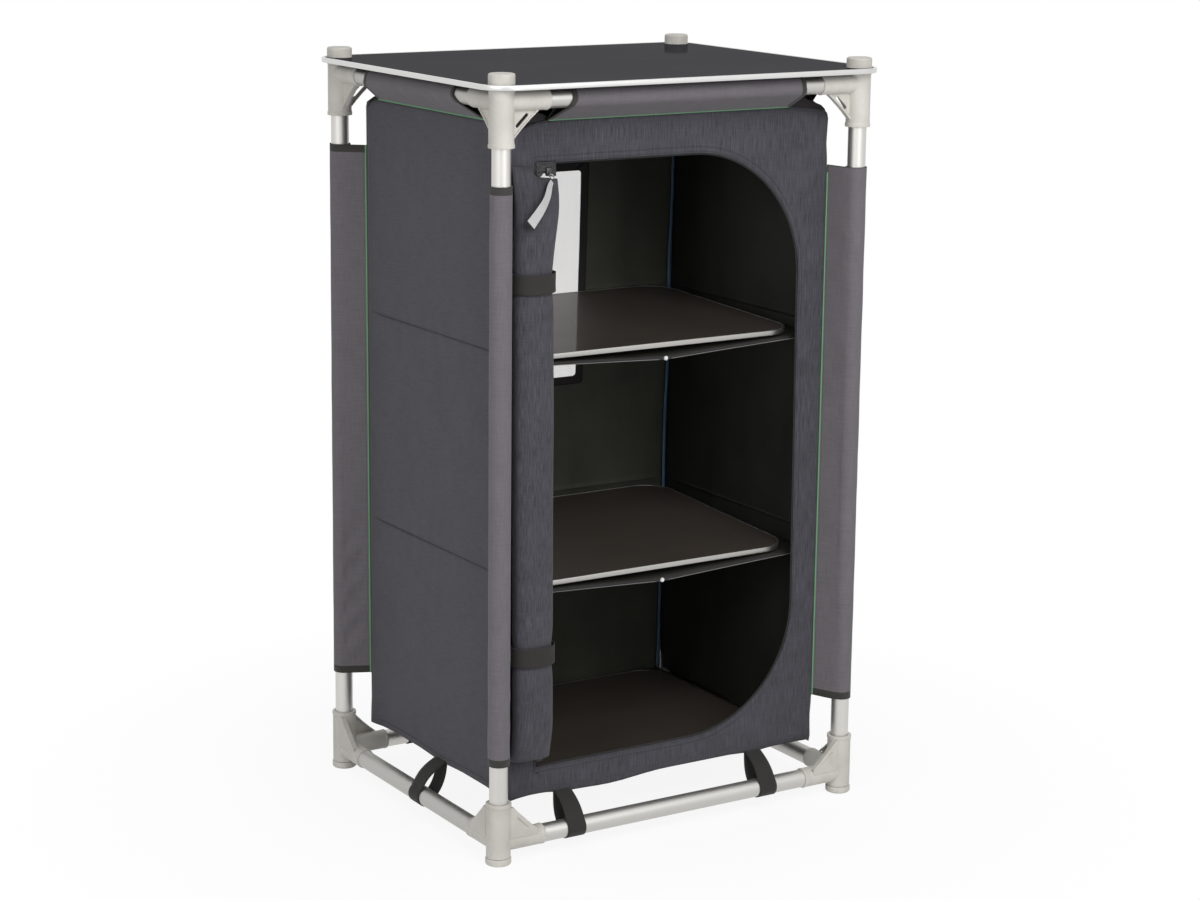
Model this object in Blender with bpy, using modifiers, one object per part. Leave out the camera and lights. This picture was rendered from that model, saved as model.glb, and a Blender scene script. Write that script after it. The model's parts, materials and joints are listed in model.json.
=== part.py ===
"""A folding camping cupboard: a plug-together tube frame, a cloth body hung inside it, three loose
boards, a lift-off tabletop and a door panel that is rolled up and strapped at the left.

Metres, +Z up. The front is at -Y, and the origin is on the floor under the middle of the frame."""
import math

import bmesh
import bpy
from mathutils import Matrix, Vector

GAP = 0.0003                 # between pieces that touch on the real cupboard

# Frame
POST_X = 0.2816              # post axes, from the middle
POST_Y = 0.2245
TUBE_R = 0.0125
TUBE_WALL = 0.0010
SOCKET_SIDES = 24            # sockets and tubes alike, so that their facets line up
SOCKET_R = 0.0165
COLLAR_R = 0.0175
COLLAR_HEIGHT = 0.005
ARM_R = 0.0137
ARM_REACH = 0.0665           # post axis to the end of an arm
SPIGOT_LENGTH = 0.030
BOTTOM_RAIL_Z = 0.030
TOP_RAIL_Z = 1.0148
BOTTOM_SOCKET = (0.010, 0.085)
TOP_SOCKET = (0.9555, 1.0289)
POST_SPAN = (0.0225, 1.0205)
SOCKET_FLOOR = (0.0220, 1.0210)
CAP_R = 0.018
CAP_EDGE = 0.004             # how far in the cap's top edge is rounded
CAP_EDGE_STEP = 0.0012
OVERALL_HEIGHT = 1.05
FOOT_R = 0.0175
FOOT_HEIGHT = 0.0095
FOOT_EDGE = 0.001
SOLE_EDGE = 0.002
PEG_R = 0.0078
PEG_TOP = 0.0180

# Gussets, between a socket and its arms
WEB_THICKNESS = 0.003
WEB_ON_ARM = 0.053
WEB_ON_SOCKET = 0.0487
WEB_ROOT = 0.006
FLANGE_WIDTH = 0.008
FLANGE_THICKNESS = 0.0018
FLANGE_SHORTER = 0.004       # than the web's slanted edge
OVERLAP = 0.001              # how far one part of a moulding reaches into the next
SLOT_LENGTH = 0.024
SLOT_WIDTH = 0.0045
SLOT_INSET = 0.0066

# Tabletop
TABLE_HALF = (0.310, 0.255)
TABLE_Z = (1.0295, 1.0365)
TABLE_CORNER_R = 0.042
TABLE_EDGE_WIDTH = 0.0045
TABLE_HOLE_R = 0.0187
PANEL_THINNER = 0.001        # a board than its metal edge

# Cloth body: half width and half depth change evenly from the bottom hem to the top seam
CLOTH = 0.002
BODY_Z = (0.071, 0.981)
BODY_HALF_WIDTH = (0.251, 0.260)
BODY_HALF_DEPTH = (0.1963, 0.187)
HEM_ARCH = 0.004
HEM_STEPS = 6
TOP_CORNER_R = 0.012
LINING = 0.0012
CEILING_DROP = 0.003
FLOOR_RISE = 0.0035
LINING_CORNER_R = 0.008

# Door opening: square corners at the left, one large radius at each right corner
DOOR_X = (-0.2068, 0.2135)
DOOR_Z = (0.112, 0.928)
DOOR_R = 0.175

# Window in the back wall
WINDOW_HALF_WIDTH = 0.090
WINDOW_Z = (0.550, 0.853)
WINDOW_R = 0.012
NET_THICKNESS = 0.0008

# Shelf boards
BOARD_HALF = (0.231, 0.174)
BOARD_MIDDLE_Y = 0.007
BOARD_THICKNESS = 0.0075
BOARD_CORNER_R = 0.045
BOARD_EDGE_WIDTH = 0.0035
# name: height of the top face at its middle, and how much lower the front edge is than the back
BOARDS = {"upper": (0.6762, 0.0116), "middle": (0.3678, 0.0164), "base": (0.0832, 0.0)}
SHELF_CLOTH = 0.0015
SHELF_CLOTH_FRONT_Y = -0.172
SHELF_CLOTH_SAG = 0.009
SHELF_SEAM = 0.001           # between a shelf's cloth and the walls it is sewn to

# Sleeves on the frame
SLEEVE_R = 0.0142
SLEEVE_BORE_R = 0.0132
SEAM_Z = 0.9828
SEAM_OUTSET = 0.001
FRONT_SLEEVE_HALF = (0.184, 0.194)    # at the rail, and at the seam
SIDE_SLEEVE_HALF = (0.1245, 0.1485)
POST_SLEEVE_R = 0.0150
POST_SLEEVE_BORE_R = 0.0138
POST_SLEEVE_Z = (0.1375, 0.907)
FIN_THICKNESS = 0.0016

# Rolled door panel
ROLL_X = -0.226
ROLL_Z = (0.133, 0.903)
ROLL_HALF_WIDTH = 0.028
ROLL_HALF_DEPTH = 0.0175
ROLL_CLEARANCE = 0.005
ROLL_FULLNESS = 0.8          # 1 is an ellipse, and 0 a box
ROLL_FOLDS = 7
ROLL_FOLD_DEPTH = 0.0013
ROLL_RINGS = 24
ROLL_SIDES = 30
ROLL_TAPERS = (0.10, 0.06)   # height over which the roll thins at its top, and at its foot
TAPER_DEPTHS = (0.42, 0.80)  # share of the depth that is left at those ends
FOOT_WIDTH_SHARE = 0.94
PINCH_HEIGHT = 0.022         # how far from a strap its pinch is felt
PINCH_WIDTH = 0.07
PINCH_DEPTH = 0.10
STRAP_HEIGHTS = {"upper": 0.777, "lower": 0.279}
DOOR_STRAP_WIDTH = 0.025
STRAP_THICKNESS = 0.0012
STRAP_CLEARANCE = 0.0008

# Bottom straps: place along the rail
STRAP_WIDTH = 0.028
LOOP_BORE_R = 0.0131
LOOP_R = 0.0145
LOOP_APEX_Z = 0.0698
LOOP_TUCK = 0.003            # behind the body's face
FRONT_LOOPS = {"left": -0.166, "right": 0.150}
SIDE_LOOP_Y = -0.012

# Zip
SLIDER_SIZE = (0.0090, 0.0040, 0.0110)
SLIDER_EDGE = 0.001
SLIDER_CLEARANCE = 0.0007    # off the front panel
SLIDER_X = -0.1905
SLIDER_Z = 0.9165
SLIDER_LUG = (0.0030, 0.0030, 0.0030)
PULL_HINGE_Z = 0.9130
PULL_REACH = 0.0040          # the hinge in front of the slider, so that the tag can swing up past it
TAG_WIDTH = 0.0115
TAG_THICKNESS = 0.0012
TAG_NECK = 0.45              # share of its width near the hinge
# the tag's middle line from its hinge, as offsets to the right, to the front and up
TAG_ROUTE = ((0.0, 0.0, 0.0), (-0.0016, 0.0045, -0.0080), (-0.0070, 0.0087, -0.0130),
             (-0.0174, 0.0187, -0.0268), (-0.0329, 0.0297, -0.0399), (-0.0533, 0.0367, -0.0583))


def linear(span, height):
    """The value at a height of a size that changes evenly over the cloth body."""
    share = (height - BODY_Z[0]) / (BODY_Z[1] - BODY_Z[0])
    return span[0] + (span[1] - span[0]) * share


def half_width(height):
    return linear(BODY_HALF_WIDTH, height)


def half_depth(height):
    return linear(BODY_HALF_DEPTH, height)


for old in list(bpy.data.objects):
    bpy.data.objects.remove(old, do_unlink=True)
parts = bpy.data.collections.new("camping_cupboard")
blanks = bpy.data.collections.new("blanks")
bpy.context.scene.collection.children.link(parts)
bpy.context.scene.collection.children.link(blanks)


def material(name, colour, roughness, metallic=0.0):
    """A Principled material in the part's plain colour."""
    made = bpy.data.materials.new(name)
    made.use_nodes = True
    shader = made.node_tree.nodes["Principled BSDF"]
    shader.inputs["Base Color"].default_value = (*colour, 1.0)
    shader.inputs["Roughness"].default_value = roughness
    shader.inputs["Metallic"].default_value = metallic
    return made


PLASTIC = material("grey_plastic", (0.56, 0.54, 0.51), 0.55)
ALUMINIUM = material("satin_aluminium", (0.74, 0.75, 0.74), 0.32, 1.0)
CHARCOAL = material("charcoal_cloth", (0.065, 0.065, 0.075), 0.9)
SLEEVE_GREY = material("sleeve_cloth", (0.14, 0.13, 0.14), 0.9)
BLACK_CLOTH = material("black_cloth", (0.012, 0.012, 0.014), 0.9)
WEBBING = material("black_webbing", (0.02, 0.02, 0.02), 0.8)
NETTING = material("netting", (0.75, 0.72, 0.70), 0.9)
TABLE_BOARD = material("table_board", (0.07, 0.07, 0.08), 0.5)
SHELF_BOARD = material("shelf_board", (0.02, 0.018, 0.015), 0.25)
DARK_METAL = material("dark_metal", (0.05, 0.05, 0.05), 0.4, 1.0)
TAG_GREY = material("tag_grey", (0.45, 0.45, 0.45), 0.5)


def finish(obj, finish_material):
    """Links an object, gives it its material and shades its round faces smooth."""
    parts.objects.link(obj)
    obj.data.materials.clear()
    obj.data.materials.append(finish_material)
    obj.data.shade_smooth()
    obj.data.set_sharp_from_angle(angle=math.radians(40))
    return obj


def blank(mesh):
    """A temporary solid, which is joined to others or cuts them."""
    obj = bpy.data.objects.new("blank", mesh)
    blanks.objects.link(obj)
    obj.hide_render = True
    obj.display_type = "WIRE"
    return obj


def faces_out(bm):
    """Turns a closed shape's faces outwards."""
    bmesh.ops.recalc_face_normals(bm, faces=bm.faces)
    if bm.calc_volume(signed=True) < 0:
        bmesh.ops.reverse_faces(bm, faces=bm.faces)


def mesh_from(bm):
    mesh = bpy.data.meshes.new("mesh")
    bm.to_mesh(mesh)
    bm.free()
    return mesh


def turn_to(direction):
    """The rotation that turns +Z to a direction."""
    return Vector((0, 0, 1)).rotation_difference(Vector(direction)).to_matrix().to_4x4()


def rod(radius, start, end, sides=20):
    """A solid cylinder from one point to another."""
    start, end = Vector(start), Vector(end)
    bm = bmesh.new()
    place = Matrix.Translation((start + end) / 2) @ turn_to(end - start)
    bmesh.ops.create_cone(bm, cap_ends=True, segments=sides, radius1=radius, radius2=radius,
                          depth=(end - start).length, matrix=place)
    return mesh_from(bm)


def block(size, centre=(0, 0, 0), turn=None):
    """A box of a size round its centre."""
    bm = bmesh.new()
    place = Matrix.Translation(centre) @ (turn or Matrix()) @ Matrix.Diagonal((*size, 1.0))
    bmesh.ops.create_cube(bm, size=1.0, matrix=place)
    return mesh_from(bm)


def turned(profile, sides=24):
    """A solid of revolution: (radius, height) points down its outer side, from axis to axis."""
    bm = bmesh.new()
    rim = [bm.verts.new((radius, 0, height)) for radius, height in profile]
    for upper, lower in zip(rim, rim[1:]):
        bm.edges.new((upper, lower))
    obj = blank(mesh_from(bm))
    screw = obj.modifiers.new("turn", "SCREW")
    screw.steps = screw.render_steps = sides
    screw.use_merge_vertices = True
    screw.merge_threshold = 0.00005
    return evaluated(obj)


def evaluated(obj, *used):
    """The mesh that an object's modifiers give. The object, and what it used, are removed."""
    bpy.context.view_layer.update()
    mesh = bpy.data.meshes.new_from_object(obj.evaluated_get(bpy.context.evaluated_depsgraph_get()))
    for spent in (obj, *used):
        bpy.data.objects.remove(spent, do_unlink=True)
    return mesh


def fitted(solids, holes=()):
    """One mesh: the solids united, less the holes."""
    base, *others = [blank(mesh) for mesh in solids]
    cuts = [blank(mesh) for mesh in holes]
    for operation, tools in (("UNION", others), ("DIFFERENCE", cuts)):
        for tool in tools:
            step = base.modifiers.new(operation.lower(), "BOOLEAN")
            step.operation = operation
            step.solver = "EXACT"
            step.object = tool
    return evaluated(base, *others, *cuts)


def plate(outline, thickness, holes=()):
    """A flat solid of that thickness, centred on Z: an outline in X and Y, with holes."""
    curve = bpy.data.curves.new("outline", "CURVE")
    curve.dimensions = "2D"
    curve.fill_mode = "BOTH"
    curve.extrude = thickness / 2
    for loop in (outline, *holes):
        spline = curve.splines.new("POLY")
        spline.points.add(len(loop) - 1)
        for point, (x, y) in zip(spline.points, loop):
            point.co = (x, y, 0, 1)
        spline.use_cyclic_u = True
    obj = bpy.data.objects.new("outline", curve)
    blanks.objects.link(obj)
    mesh = evaluated(obj)
    bm = bmesh.new()
    bm.from_mesh(mesh)
    bmesh.ops.remove_doubles(bm, verts=bm.verts, dist=0.00001)
    faces_out(bm)
    bm.to_mesh(mesh)
    bm.free()
    return mesh


def arc(centre, radius, first, last, steps):
    """Points on an arc, angles in degrees."""
    angles = (math.radians(first + (last - first) * i / steps) for i in range(steps + 1))
    return [(centre[0] + radius * math.cos(a), centre[1] + radius * math.sin(a)) for a in angles]


def circle(centre, radius, steps=24):
    return arc(centre, radius, 0, 360, steps)[:-1]


def rounded_box(half_x, half_y, radius, steps=6):
    """A rectangle round the origin with round corners."""
    x, y = half_x - radius, half_y - radius
    corners = ((x, y, 0), (-x, y, 90), (-x, -y, 180), (x, -y, 270))
    return [p for cx, cy, a in corners for p in arc((cx, cy), radius, a, a + 90, steps)]


def teardrop(centre, apex, radius, steps=16):
    """A circle drawn out to a point by its two tangents."""
    centre, apex = Vector(centre), Vector(apex)
    reach = apex - centre
    towards = math.degrees(math.atan2(reach.y, reach.x))
    open_angle = math.degrees(math.acos(radius / reach.length))
    around = arc(centre, radius, towards + open_angle, towards + 360 - open_angle, steps)
    return [*around, tuple(apex)]


def stand_up(mesh, along_x):
    """Turns a plate so that its first axis runs along X, or along Y, and its second axis runs up."""
    mesh.transform(Matrix.Rotation(math.radians(90), 4, "X"))
    if not along_x:
        mesh.transform(Matrix.Rotation(math.radians(90), 4, "Z"))
    return mesh


def placed(mesh, x=0.0, y=0.0, z=0.0):
    mesh.transform(Matrix.Translation((x, y, z)))
    return mesh


def add(name, mesh, finish_material, origin=(0, 0, 0)):
    """A named sub-part whose object has its origin at a point, such as on its joint's axis."""
    mesh.transform(Matrix.Translation(-Vector(origin)))
    obj = bpy.data.objects.new(name, mesh)
    obj.location = origin
    return finish(obj, finish_material)


CORNERS = {"fl": (-1, -1), "fr": (1, -1), "bl": (-1, 1), "br": (1, 1)}


def tube(name, start, end):
    """A round aluminium tube, open at both ends."""
    start, end = Vector(start), Vector(end)
    bm = bmesh.new()
    bmesh.ops.create_cone(bm, cap_ends=False, segments=SOCKET_SIDES, radius1=TUBE_R, radius2=TUBE_R,
                          depth=(end - start).length, matrix=turn_to(end - start))
    bmesh.ops.recalc_face_normals(bm, faces=bm.faces)
    obj = bpy.data.objects.new(name, mesh_from(bm))
    obj.location = (start + end) / 2
    wall = obj.modifiers.new("wall", "SOLIDIFY")
    wall.thickness = TUBE_WALL
    wall.offset = -1
    return finish(obj, ALUMINIUM)


def tubes():
    """Four posts, and four rails at the bottom and at the top."""
    for corner, (side, depth) in CORNERS.items():
        foot, top = ((side * POST_X, depth * POST_Y, z) for z in POST_SPAN)
        tube(f"post_{corner}", foot, top)
    reach_x = POST_X - ARM_REACH - GAP
    reach_y = POST_Y - ARM_REACH - GAP
    for level, z in (("bottom", BOTTOM_RAIL_Z), ("top", TOP_RAIL_Z)):
        for place, sign in (("front", -1), ("back", 1)):
            y = sign * POST_Y
            tube(f"rail_{level}_{place}", (-reach_x, y, z), (reach_x, y, z))
        for place, sign in (("left", -1), ("right", 1)):
            x = sign * POST_X
            tube(f"rail_{level}_{place}", (x, -reach_y, z), (x, reach_y, z))


def gusset():
    """The slotted web over the arm along +X, with the arm's axis at height 0, and its flange."""
    low = Vector((WEB_ON_ARM, ARM_R - OVERLAP))
    high = Vector((SOCKET_R - OVERLAP, WEB_ON_SOCKET))
    root = SOCKET_R - 5 * OVERLAP
    outline = [(root, WEB_ROOT), (WEB_ON_ARM, WEB_ROOT), tuple(low), tuple(high), (root, WEB_ON_SOCKET)]
    slope = (high - low).normalized()
    inward = Vector((-slope.y, slope.x))
    middle = (low + high) / 2
    slot_middle = middle + inward * SLOT_INSET
    half = SLOT_LENGTH / 2 - SLOT_WIDTH / 2
    tilt = math.degrees(math.atan2(slope.y, slope.x))
    slot = [*arc(slot_middle + slope * half, SLOT_WIDTH / 2, tilt - 90, tilt + 90, 4),
            *arc(slot_middle - slope * half, SLOT_WIDTH / 2, tilt + 90, tilt + 270, 4)]
    web = stand_up(plate(outline, WEB_THICKNESS, [slot]), along_x=True)
    flange_middle = middle - inward * (FLANGE_THICKNESS / 2 - GAP)
    flange = block(((high - low).length - FLANGE_SHORTER, FLANGE_WIDTH, FLANGE_THICKNESS),
                   (flange_middle.x, 0, flange_middle.y),
                   Matrix.Rotation(-math.radians(tilt), 4, "Y"))
    return web, flange


def corner_mesh(base, mouth, socket_floor, end_piece, end_hole):
    """A corner with its arms along +X and +Y at height 0 and its socket open upwards.
    base and mouth are the socket's ends. end_piece and end_hole are at the base."""
    collar_start = mouth - COLLAR_HEIGHT
    solids = [rod(SOCKET_R, (0, 0, base), (0, 0, mouth - OVERLAP / 2), SOCKET_SIDES),
              rod(COLLAR_R, (0, 0, collar_start), (0, 0, mouth), SOCKET_SIDES)]
    quarter = Matrix.Rotation(math.radians(90), 4, "Z")
    for turn in (Matrix(), quarter):
        run = [rod(ARM_R, (0, 0, 0), (ARM_REACH, 0, 0)),
               rod(TUBE_R - TUBE_WALL - GAP, (0, 0, 0), (ARM_REACH + SPIGOT_LENGTH, 0, 0)),
               *gusset()]
        for mesh in run:
            mesh.transform(turn)
        solids += run
    bore = rod(TUBE_R + GAP, (0, 0, socket_floor), (0, 0, mouth + COLLAR_HEIGHT), SOCKET_SIDES)
    return fitted(solids + end_piece, [bore, *end_hole])


def corners_and_feet():
    """Eight corners from two mouldings, and the four feet."""
    foot_hole = rod(PEG_R + GAP, (0, 0, -BOTTOM_RAIL_Z), (0, 0, PEG_TOP + 2 * GAP - BOTTOM_RAIL_Z))
    low = corner_mesh(BOTTOM_SOCKET[0] - BOTTOM_RAIL_Z, BOTTOM_SOCKET[1] - BOTTOM_RAIL_Z,
                      SOCKET_FLOOR[0] - BOTTOM_RAIL_Z, [], [foot_hole])
    shoulder = TOP_RAIL_Z - TOP_SOCKET[1]
    tip = TOP_RAIL_Z - OVERALL_HEIGHT
    under = shoulder + 2 * OVERLAP
    cap = turned([(0, under), (CAP_R, under), (CAP_R, tip + CAP_EDGE),
                  (CAP_R - CAP_EDGE_STEP, tip + CAP_EDGE_STEP), (CAP_R - CAP_EDGE, tip), (0, tip)])
    high = corner_mesh(shoulder, TOP_RAIL_Z - TOP_SOCKET[0], TOP_RAIL_Z - SOCKET_FLOOR[1], [cap], [])
    foot = turned([(0, PEG_TOP), (PEG_R, PEG_TOP), (PEG_R, FOOT_HEIGHT),
                   (FOOT_R - FOOT_EDGE, FOOT_HEIGHT), (FOOT_R, FOOT_HEIGHT - FOOT_EDGE),
                   (FOOT_R, SOLE_EDGE), (FOOT_R - SOLE_EDGE, 0), (0, 0)])
    for corner, (side, depth) in CORNERS.items():
        for level, master, up, z in (("bottom", low, 1, BOTTOM_RAIL_Z), ("top", high, -1, TOP_RAIL_Z)):
            mesh = master.copy()
            mesh.transform(Matrix.Diagonal((-side, -depth, up, 1.0)))
            if side * depth * up < 0:
                mesh.flip_normals()
            place = (side * POST_X, depth * POST_Y, z)
            add(f"{level}_corner_{corner}", placed(mesh, *place), PLASTIC, place)
        place = (side * POST_X, depth * POST_Y, 0)
        add(f"foot_{corner}", placed(foot.copy(), *place), PLASTIC, place)


def edged_board(name, half, radius, thickness, edge_width, board_material, holes, place, origin):
    """A board in a metal edge: the edge is a ring, and the board lies inside it a little thinner."""
    outer = rounded_box(*half, radius)
    inner = rounded_box(half[0] - edge_width, half[1] - edge_width, radius - edge_width)
    inset = edge_width + GAP
    inside = rounded_box(half[0] - inset, half[1] - inset, radius - inset)
    edge = plate(outer, thickness, [inner])
    board = plate(inside, thickness - PANEL_THINNER, holes)
    for piece, mesh, finish_material in (("edge", edge, ALUMINIUM), ("panel", board, board_material)):
        mesh.transform(place)
        add(f"{name}_{piece}", mesh, finish_material, origin)


def tabletop():
    middle = (TABLE_Z[0] + TABLE_Z[1]) / 2
    holes = [circle((side * POST_X, depth * POST_Y), TABLE_HOLE_R) for side, depth in CORNERS.values()]
    edged_board("tabletop", TABLE_HALF, TABLE_CORNER_R, TABLE_Z[1] - TABLE_Z[0], TABLE_EDGE_WIDTH,
                TABLE_BOARD, holes, Matrix.Translation((0, 0, middle)), (0, 0, middle))


def board_tilt(drop):
    return math.atan2(drop, 2 * BOARD_HALF[1])


def shelves():
    """Three equal boards. The two hung ones tip a little to the front with the cloth under them."""
    for name, (height, drop) in BOARDS.items():
        place = (Matrix.Translation((0, BOARD_MIDDLE_Y, height))
                 @ Matrix.Rotation(board_tilt(drop), 4, "X")
                 @ Matrix.Translation((0, 0, -BOARD_THICKNESS / 2)))
        edged_board(f"shelf_{name}", BOARD_HALF, BOARD_CORNER_R, BOARD_THICKNESS, BOARD_EDGE_WIDTH,
                    SHELF_BOARD, [], place, (0, BOARD_MIDDLE_Y, height))


def hem(half, straps):
    """A wall's lower edge from one end to the other, arched a little between its straps."""
    stops = [-half, *straps, half]
    points = []
    for left, right in zip(stops, stops[1:]):
        for step in range(HEM_STEPS):
            share = step / HEM_STEPS
            arch = HEM_ARCH * math.sin(math.pi * share)
            points.append((left + (right - left) * share, BODY_Z[0] + arch))
    return points


def wall_outline(bottom, top, straps):
    """A wall that changes width evenly, with round top corners and an arched lower edge."""
    radius = TOP_CORNER_R
    upper_z = BODY_Z[1] - radius
    return [*hem(bottom, straps), (bottom, BODY_Z[0]), *arc((top - radius, upper_z), radius, 0, 90, 4),
            *arc((radius - top, upper_z), radius, 90, 180, 4)]


def lean(mesh, along_x, sign, inset):
    """Moves a standing panel out to the body's face, which leans evenly with height."""
    for vertex in mesh.vertices:
        z = vertex.co.z
        if along_x:
            vertex.co.y += sign * (half_depth(z) - inset)
        else:
            vertex.co.x += sign * (half_width(z) - inset)
    return mesh


def walls():
    """Four walls of one cloth, the front one with the door opening and the back one with a window."""
    centre_x = DOOR_X[1] - DOOR_R
    door = [(DOOR_X[0], DOOR_Z[1]), (DOOR_X[0], DOOR_Z[0]),
            *arc((centre_x, DOOR_Z[0] + DOOR_R), DOOR_R, -90, 0, 12),
            *arc((centre_x, DOOR_Z[1] - DOOR_R), DOOR_R, 0, 90, 12)]
    straps = tuple(FRONT_LOOPS.values())
    front = stand_up(plate(wall_outline(*BODY_HALF_WIDTH, straps), CLOTH, [door]), along_x=True)
    add("front_panel", lean(front, True, -1, CLOTH / 2), CHARCOAL)

    window_middle = (WINDOW_Z[0] + WINDOW_Z[1]) / 2
    window_half = (WINDOW_Z[1] - WINDOW_Z[0]) / 2
    window = [(x, z + window_middle) for x, z in rounded_box(WINDOW_HALF_WIDTH, window_half, WINDOW_R, 4)]
    back = stand_up(plate(wall_outline(*BODY_HALF_WIDTH, straps), CLOTH, [window]), along_x=True)
    add("wall_back", lean(back, True, 1, CLOTH / 2), CHARCOAL)
    net = rounded_box(WINDOW_HALF_WIDTH - GAP, window_half - GAP, WINDOW_R - GAP, 4)
    net = stand_up(plate([(x, z + window_middle) for x, z in net], NET_THICKNESS), along_x=True)
    add("window_netting", lean(net, True, 1, CLOTH / 2), NETTING)

    inset = CLOTH + 2 * GAP
    depths = (BODY_HALF_DEPTH[0] - inset, BODY_HALF_DEPTH[1] - inset)
    for name, sign in (("left", -1), ("right", 1)):
        side = stand_up(plate(wall_outline(*depths, (SIDE_LOOP_Y,)), CLOTH), along_x=False)
        add(f"wall_{name}", lean(side, False, sign, CLOTH / 2), CHARCOAL)


def ceiling_and_floor():
    inset = CLOTH + 2 * GAP
    for name, z, finish_material in (("cloth_top", BODY_Z[1] - CEILING_DROP, BLACK_CLOTH),
                                     ("cloth_floor", BODY_Z[0] + FLOOR_RISE, CHARCOAL)):
        outline = rounded_box(half_width(z) - inset, half_depth(z) - inset, LINING_CORNER_R, 2)
        sheet = plate(outline, LINING)
        add(name, placed(sheet, z=z), finish_material)


def shelf_cloths():
    """Each hung shelf: a cloth sewn to three walls, whose free front edge sags in the middle."""
    for name in ("upper", "middle"):
        height, drop = BOARDS[name]
        level = height - BOARD_THICKNESS / math.cos(board_tilt(drop)) - 2 * GAP
        wide = half_width(height) - CLOTH - SHELF_SEAM
        back = half_depth(height) - CLOTH - SHELF_SEAM
        deep = back - SHELF_CLOTH_FRONT_Y
        bm = bmesh.new()
        bmesh.ops.create_grid(bm, x_segments=10, y_segments=7, size=0.5)
        for vertex in bm.verts:
            across, share = vertex.co.x * 2, 0.5 - vertex.co.y
            y = back - deep * share
            sag = SHELF_CLOTH_SAG * (1 - across * across) * share ** 3
            vertex.co = (wide * across, y, level + (y - BOARD_MIDDLE_Y) * math.tan(board_tilt(drop)) - sag)
        bmesh.ops.recalc_face_normals(bm, faces=bm.faces)
        if sum(face.normal.z for face in bm.faces) < 0:
            bmesh.ops.reverse_faces(bm, faces=bm.faces)
        obj = bpy.data.objects.new(f"shelf_cloth_{name}", mesh_from(bm))
        cloth = obj.modifiers.new("cloth", "SOLIDIFY")
        cloth.thickness = SHELF_CLOTH
        cloth.offset = -1
        finish(obj, BLACK_CLOTH)


def rail_sleeves():
    """A tunnel of cloth round each top rail, drawn in below to the seam on the body."""
    rail_to_seam = TOP_RAIL_Z - SEAM_Z
    for name, along_x, sign, post, seam, half in (
            ("front", True, -1, POST_Y, BODY_HALF_DEPTH[1], FRONT_SLEEVE_HALF),
            ("back", True, 1, POST_Y, BODY_HALF_DEPTH[1], FRONT_SLEEVE_HALF),
            ("left", False, -1, POST_X, BODY_HALF_WIDTH[1], SIDE_SLEEVE_HALF),
            ("right", False, 1, POST_X, BODY_HALF_WIDTH[1], SIDE_SLEEVE_HALF)):
        rail = (sign * post, TOP_RAIL_Z)
        section = teardrop(rail, (sign * (seam + SEAM_OUTSET), SEAM_Z), SLEEVE_R)
        mesh = plate(section, 2 * half[0], [circle(rail, SLEEVE_BORE_R)])
        stand_up(mesh, along_x=not along_x)
        for vertex in mesh.vertices:
            low = max(0.0, (TOP_RAIL_Z - vertex.co.z) / rail_to_seam)
            stretch = 1 + (half[1] / half[0] - 1) * low
            if along_x:
                vertex.co.x *= stretch
            else:
                vertex.co.y *= stretch
        add(f"rail_sleeve_{name}", mesh, SLEEVE_GREY)


def post_sleeves():
    """A tunnel of cloth round each post with a flat fin sewn to the body's corner."""
    low, high = POST_SLEEVE_Z
    middle = (low + high) / 2
    post = Vector((POST_X, POST_Y))
    reach = Vector((half_width(middle), half_depth(middle))) - post
    fin_length = reach.length - 2 * GAP
    away = math.degrees(math.atan2(reach.y, reach.x))
    spread = math.degrees(math.asin(FIN_THICKNESS / 2 / POST_SLEEVE_R))
    along = reach.normalized()
    across = Vector((-along.y, along.x)) * FIN_THICKNESS / 2
    ring = arc(post, POST_SLEEVE_R, away + spread, away + 360 - spread, 22)
    tip = post + along * fin_length
    section = [*ring, tuple(tip - across), tuple(tip + across)]
    master = plate(section, high - low, [circle(post, POST_SLEEVE_BORE_R, 22)])
    placed(master, z=middle)
    for vertex in master.vertices:
        corner = Vector((half_width(vertex.co.z), half_depth(vertex.co.z)))
        out = (Vector(vertex.co.xy) - post).dot(along) - POST_SLEEVE_R
        share = max(0.0, out / (fin_length - POST_SLEEVE_R))
        vertex.co.xy += (corner - (post + reach)) * share
    for corner, (side, depth) in CORNERS.items():
        mesh = master.copy()
        mesh.transform(Matrix.Diagonal((side, depth, 1.0, 1.0)))
        if side * depth < 0:
            mesh.flip_normals()
        add(f"post_sleeve_{corner}", mesh, SLEEVE_GREY)


def roll_size(z):
    """Half width and half depth of the rolled door at a height: drawn in by its straps and at its top."""
    pinch = sum(math.exp(-((z - strap) / PINCH_HEIGHT) ** 2) for strap in STRAP_HEIGHTS.values())
    top = min(1.0, (ROLL_Z[1] - z) / ROLL_TAPERS[0])
    foot = min(1.0, (z - ROLL_Z[0]) / ROLL_TAPERS[1])
    depth = ROLL_HALF_DEPTH * (1 - PINCH_DEPTH * pinch)
    for share, least in ((top, TAPER_DEPTHS[0]), (foot, TAPER_DEPTHS[1])):
        depth *= least + (1 - least) * math.sin(share * math.pi / 2)
    width = ROLL_HALF_WIDTH * (1 - PINCH_WIDTH * pinch)
    return width * (FOOT_WIDTH_SHARE + (1 - FOOT_WIDTH_SHARE) * foot), depth


def roll_middle(z, depth):
    """The roll's back stays close to the front panel all the way down."""
    return -(half_depth(z) + ROLL_CLEARANCE + depth)


def roll_point(width, depth, angle):
    """A point of the roll's section, a flattened ellipse with full sides, from the roll's middle."""
    across, out = math.cos(angle), math.sin(angle)
    return (width * math.copysign(abs(across) ** ROLL_FULLNESS, across),
            depth * math.copysign(abs(out) ** ROLL_FULLNESS, out))


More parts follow.
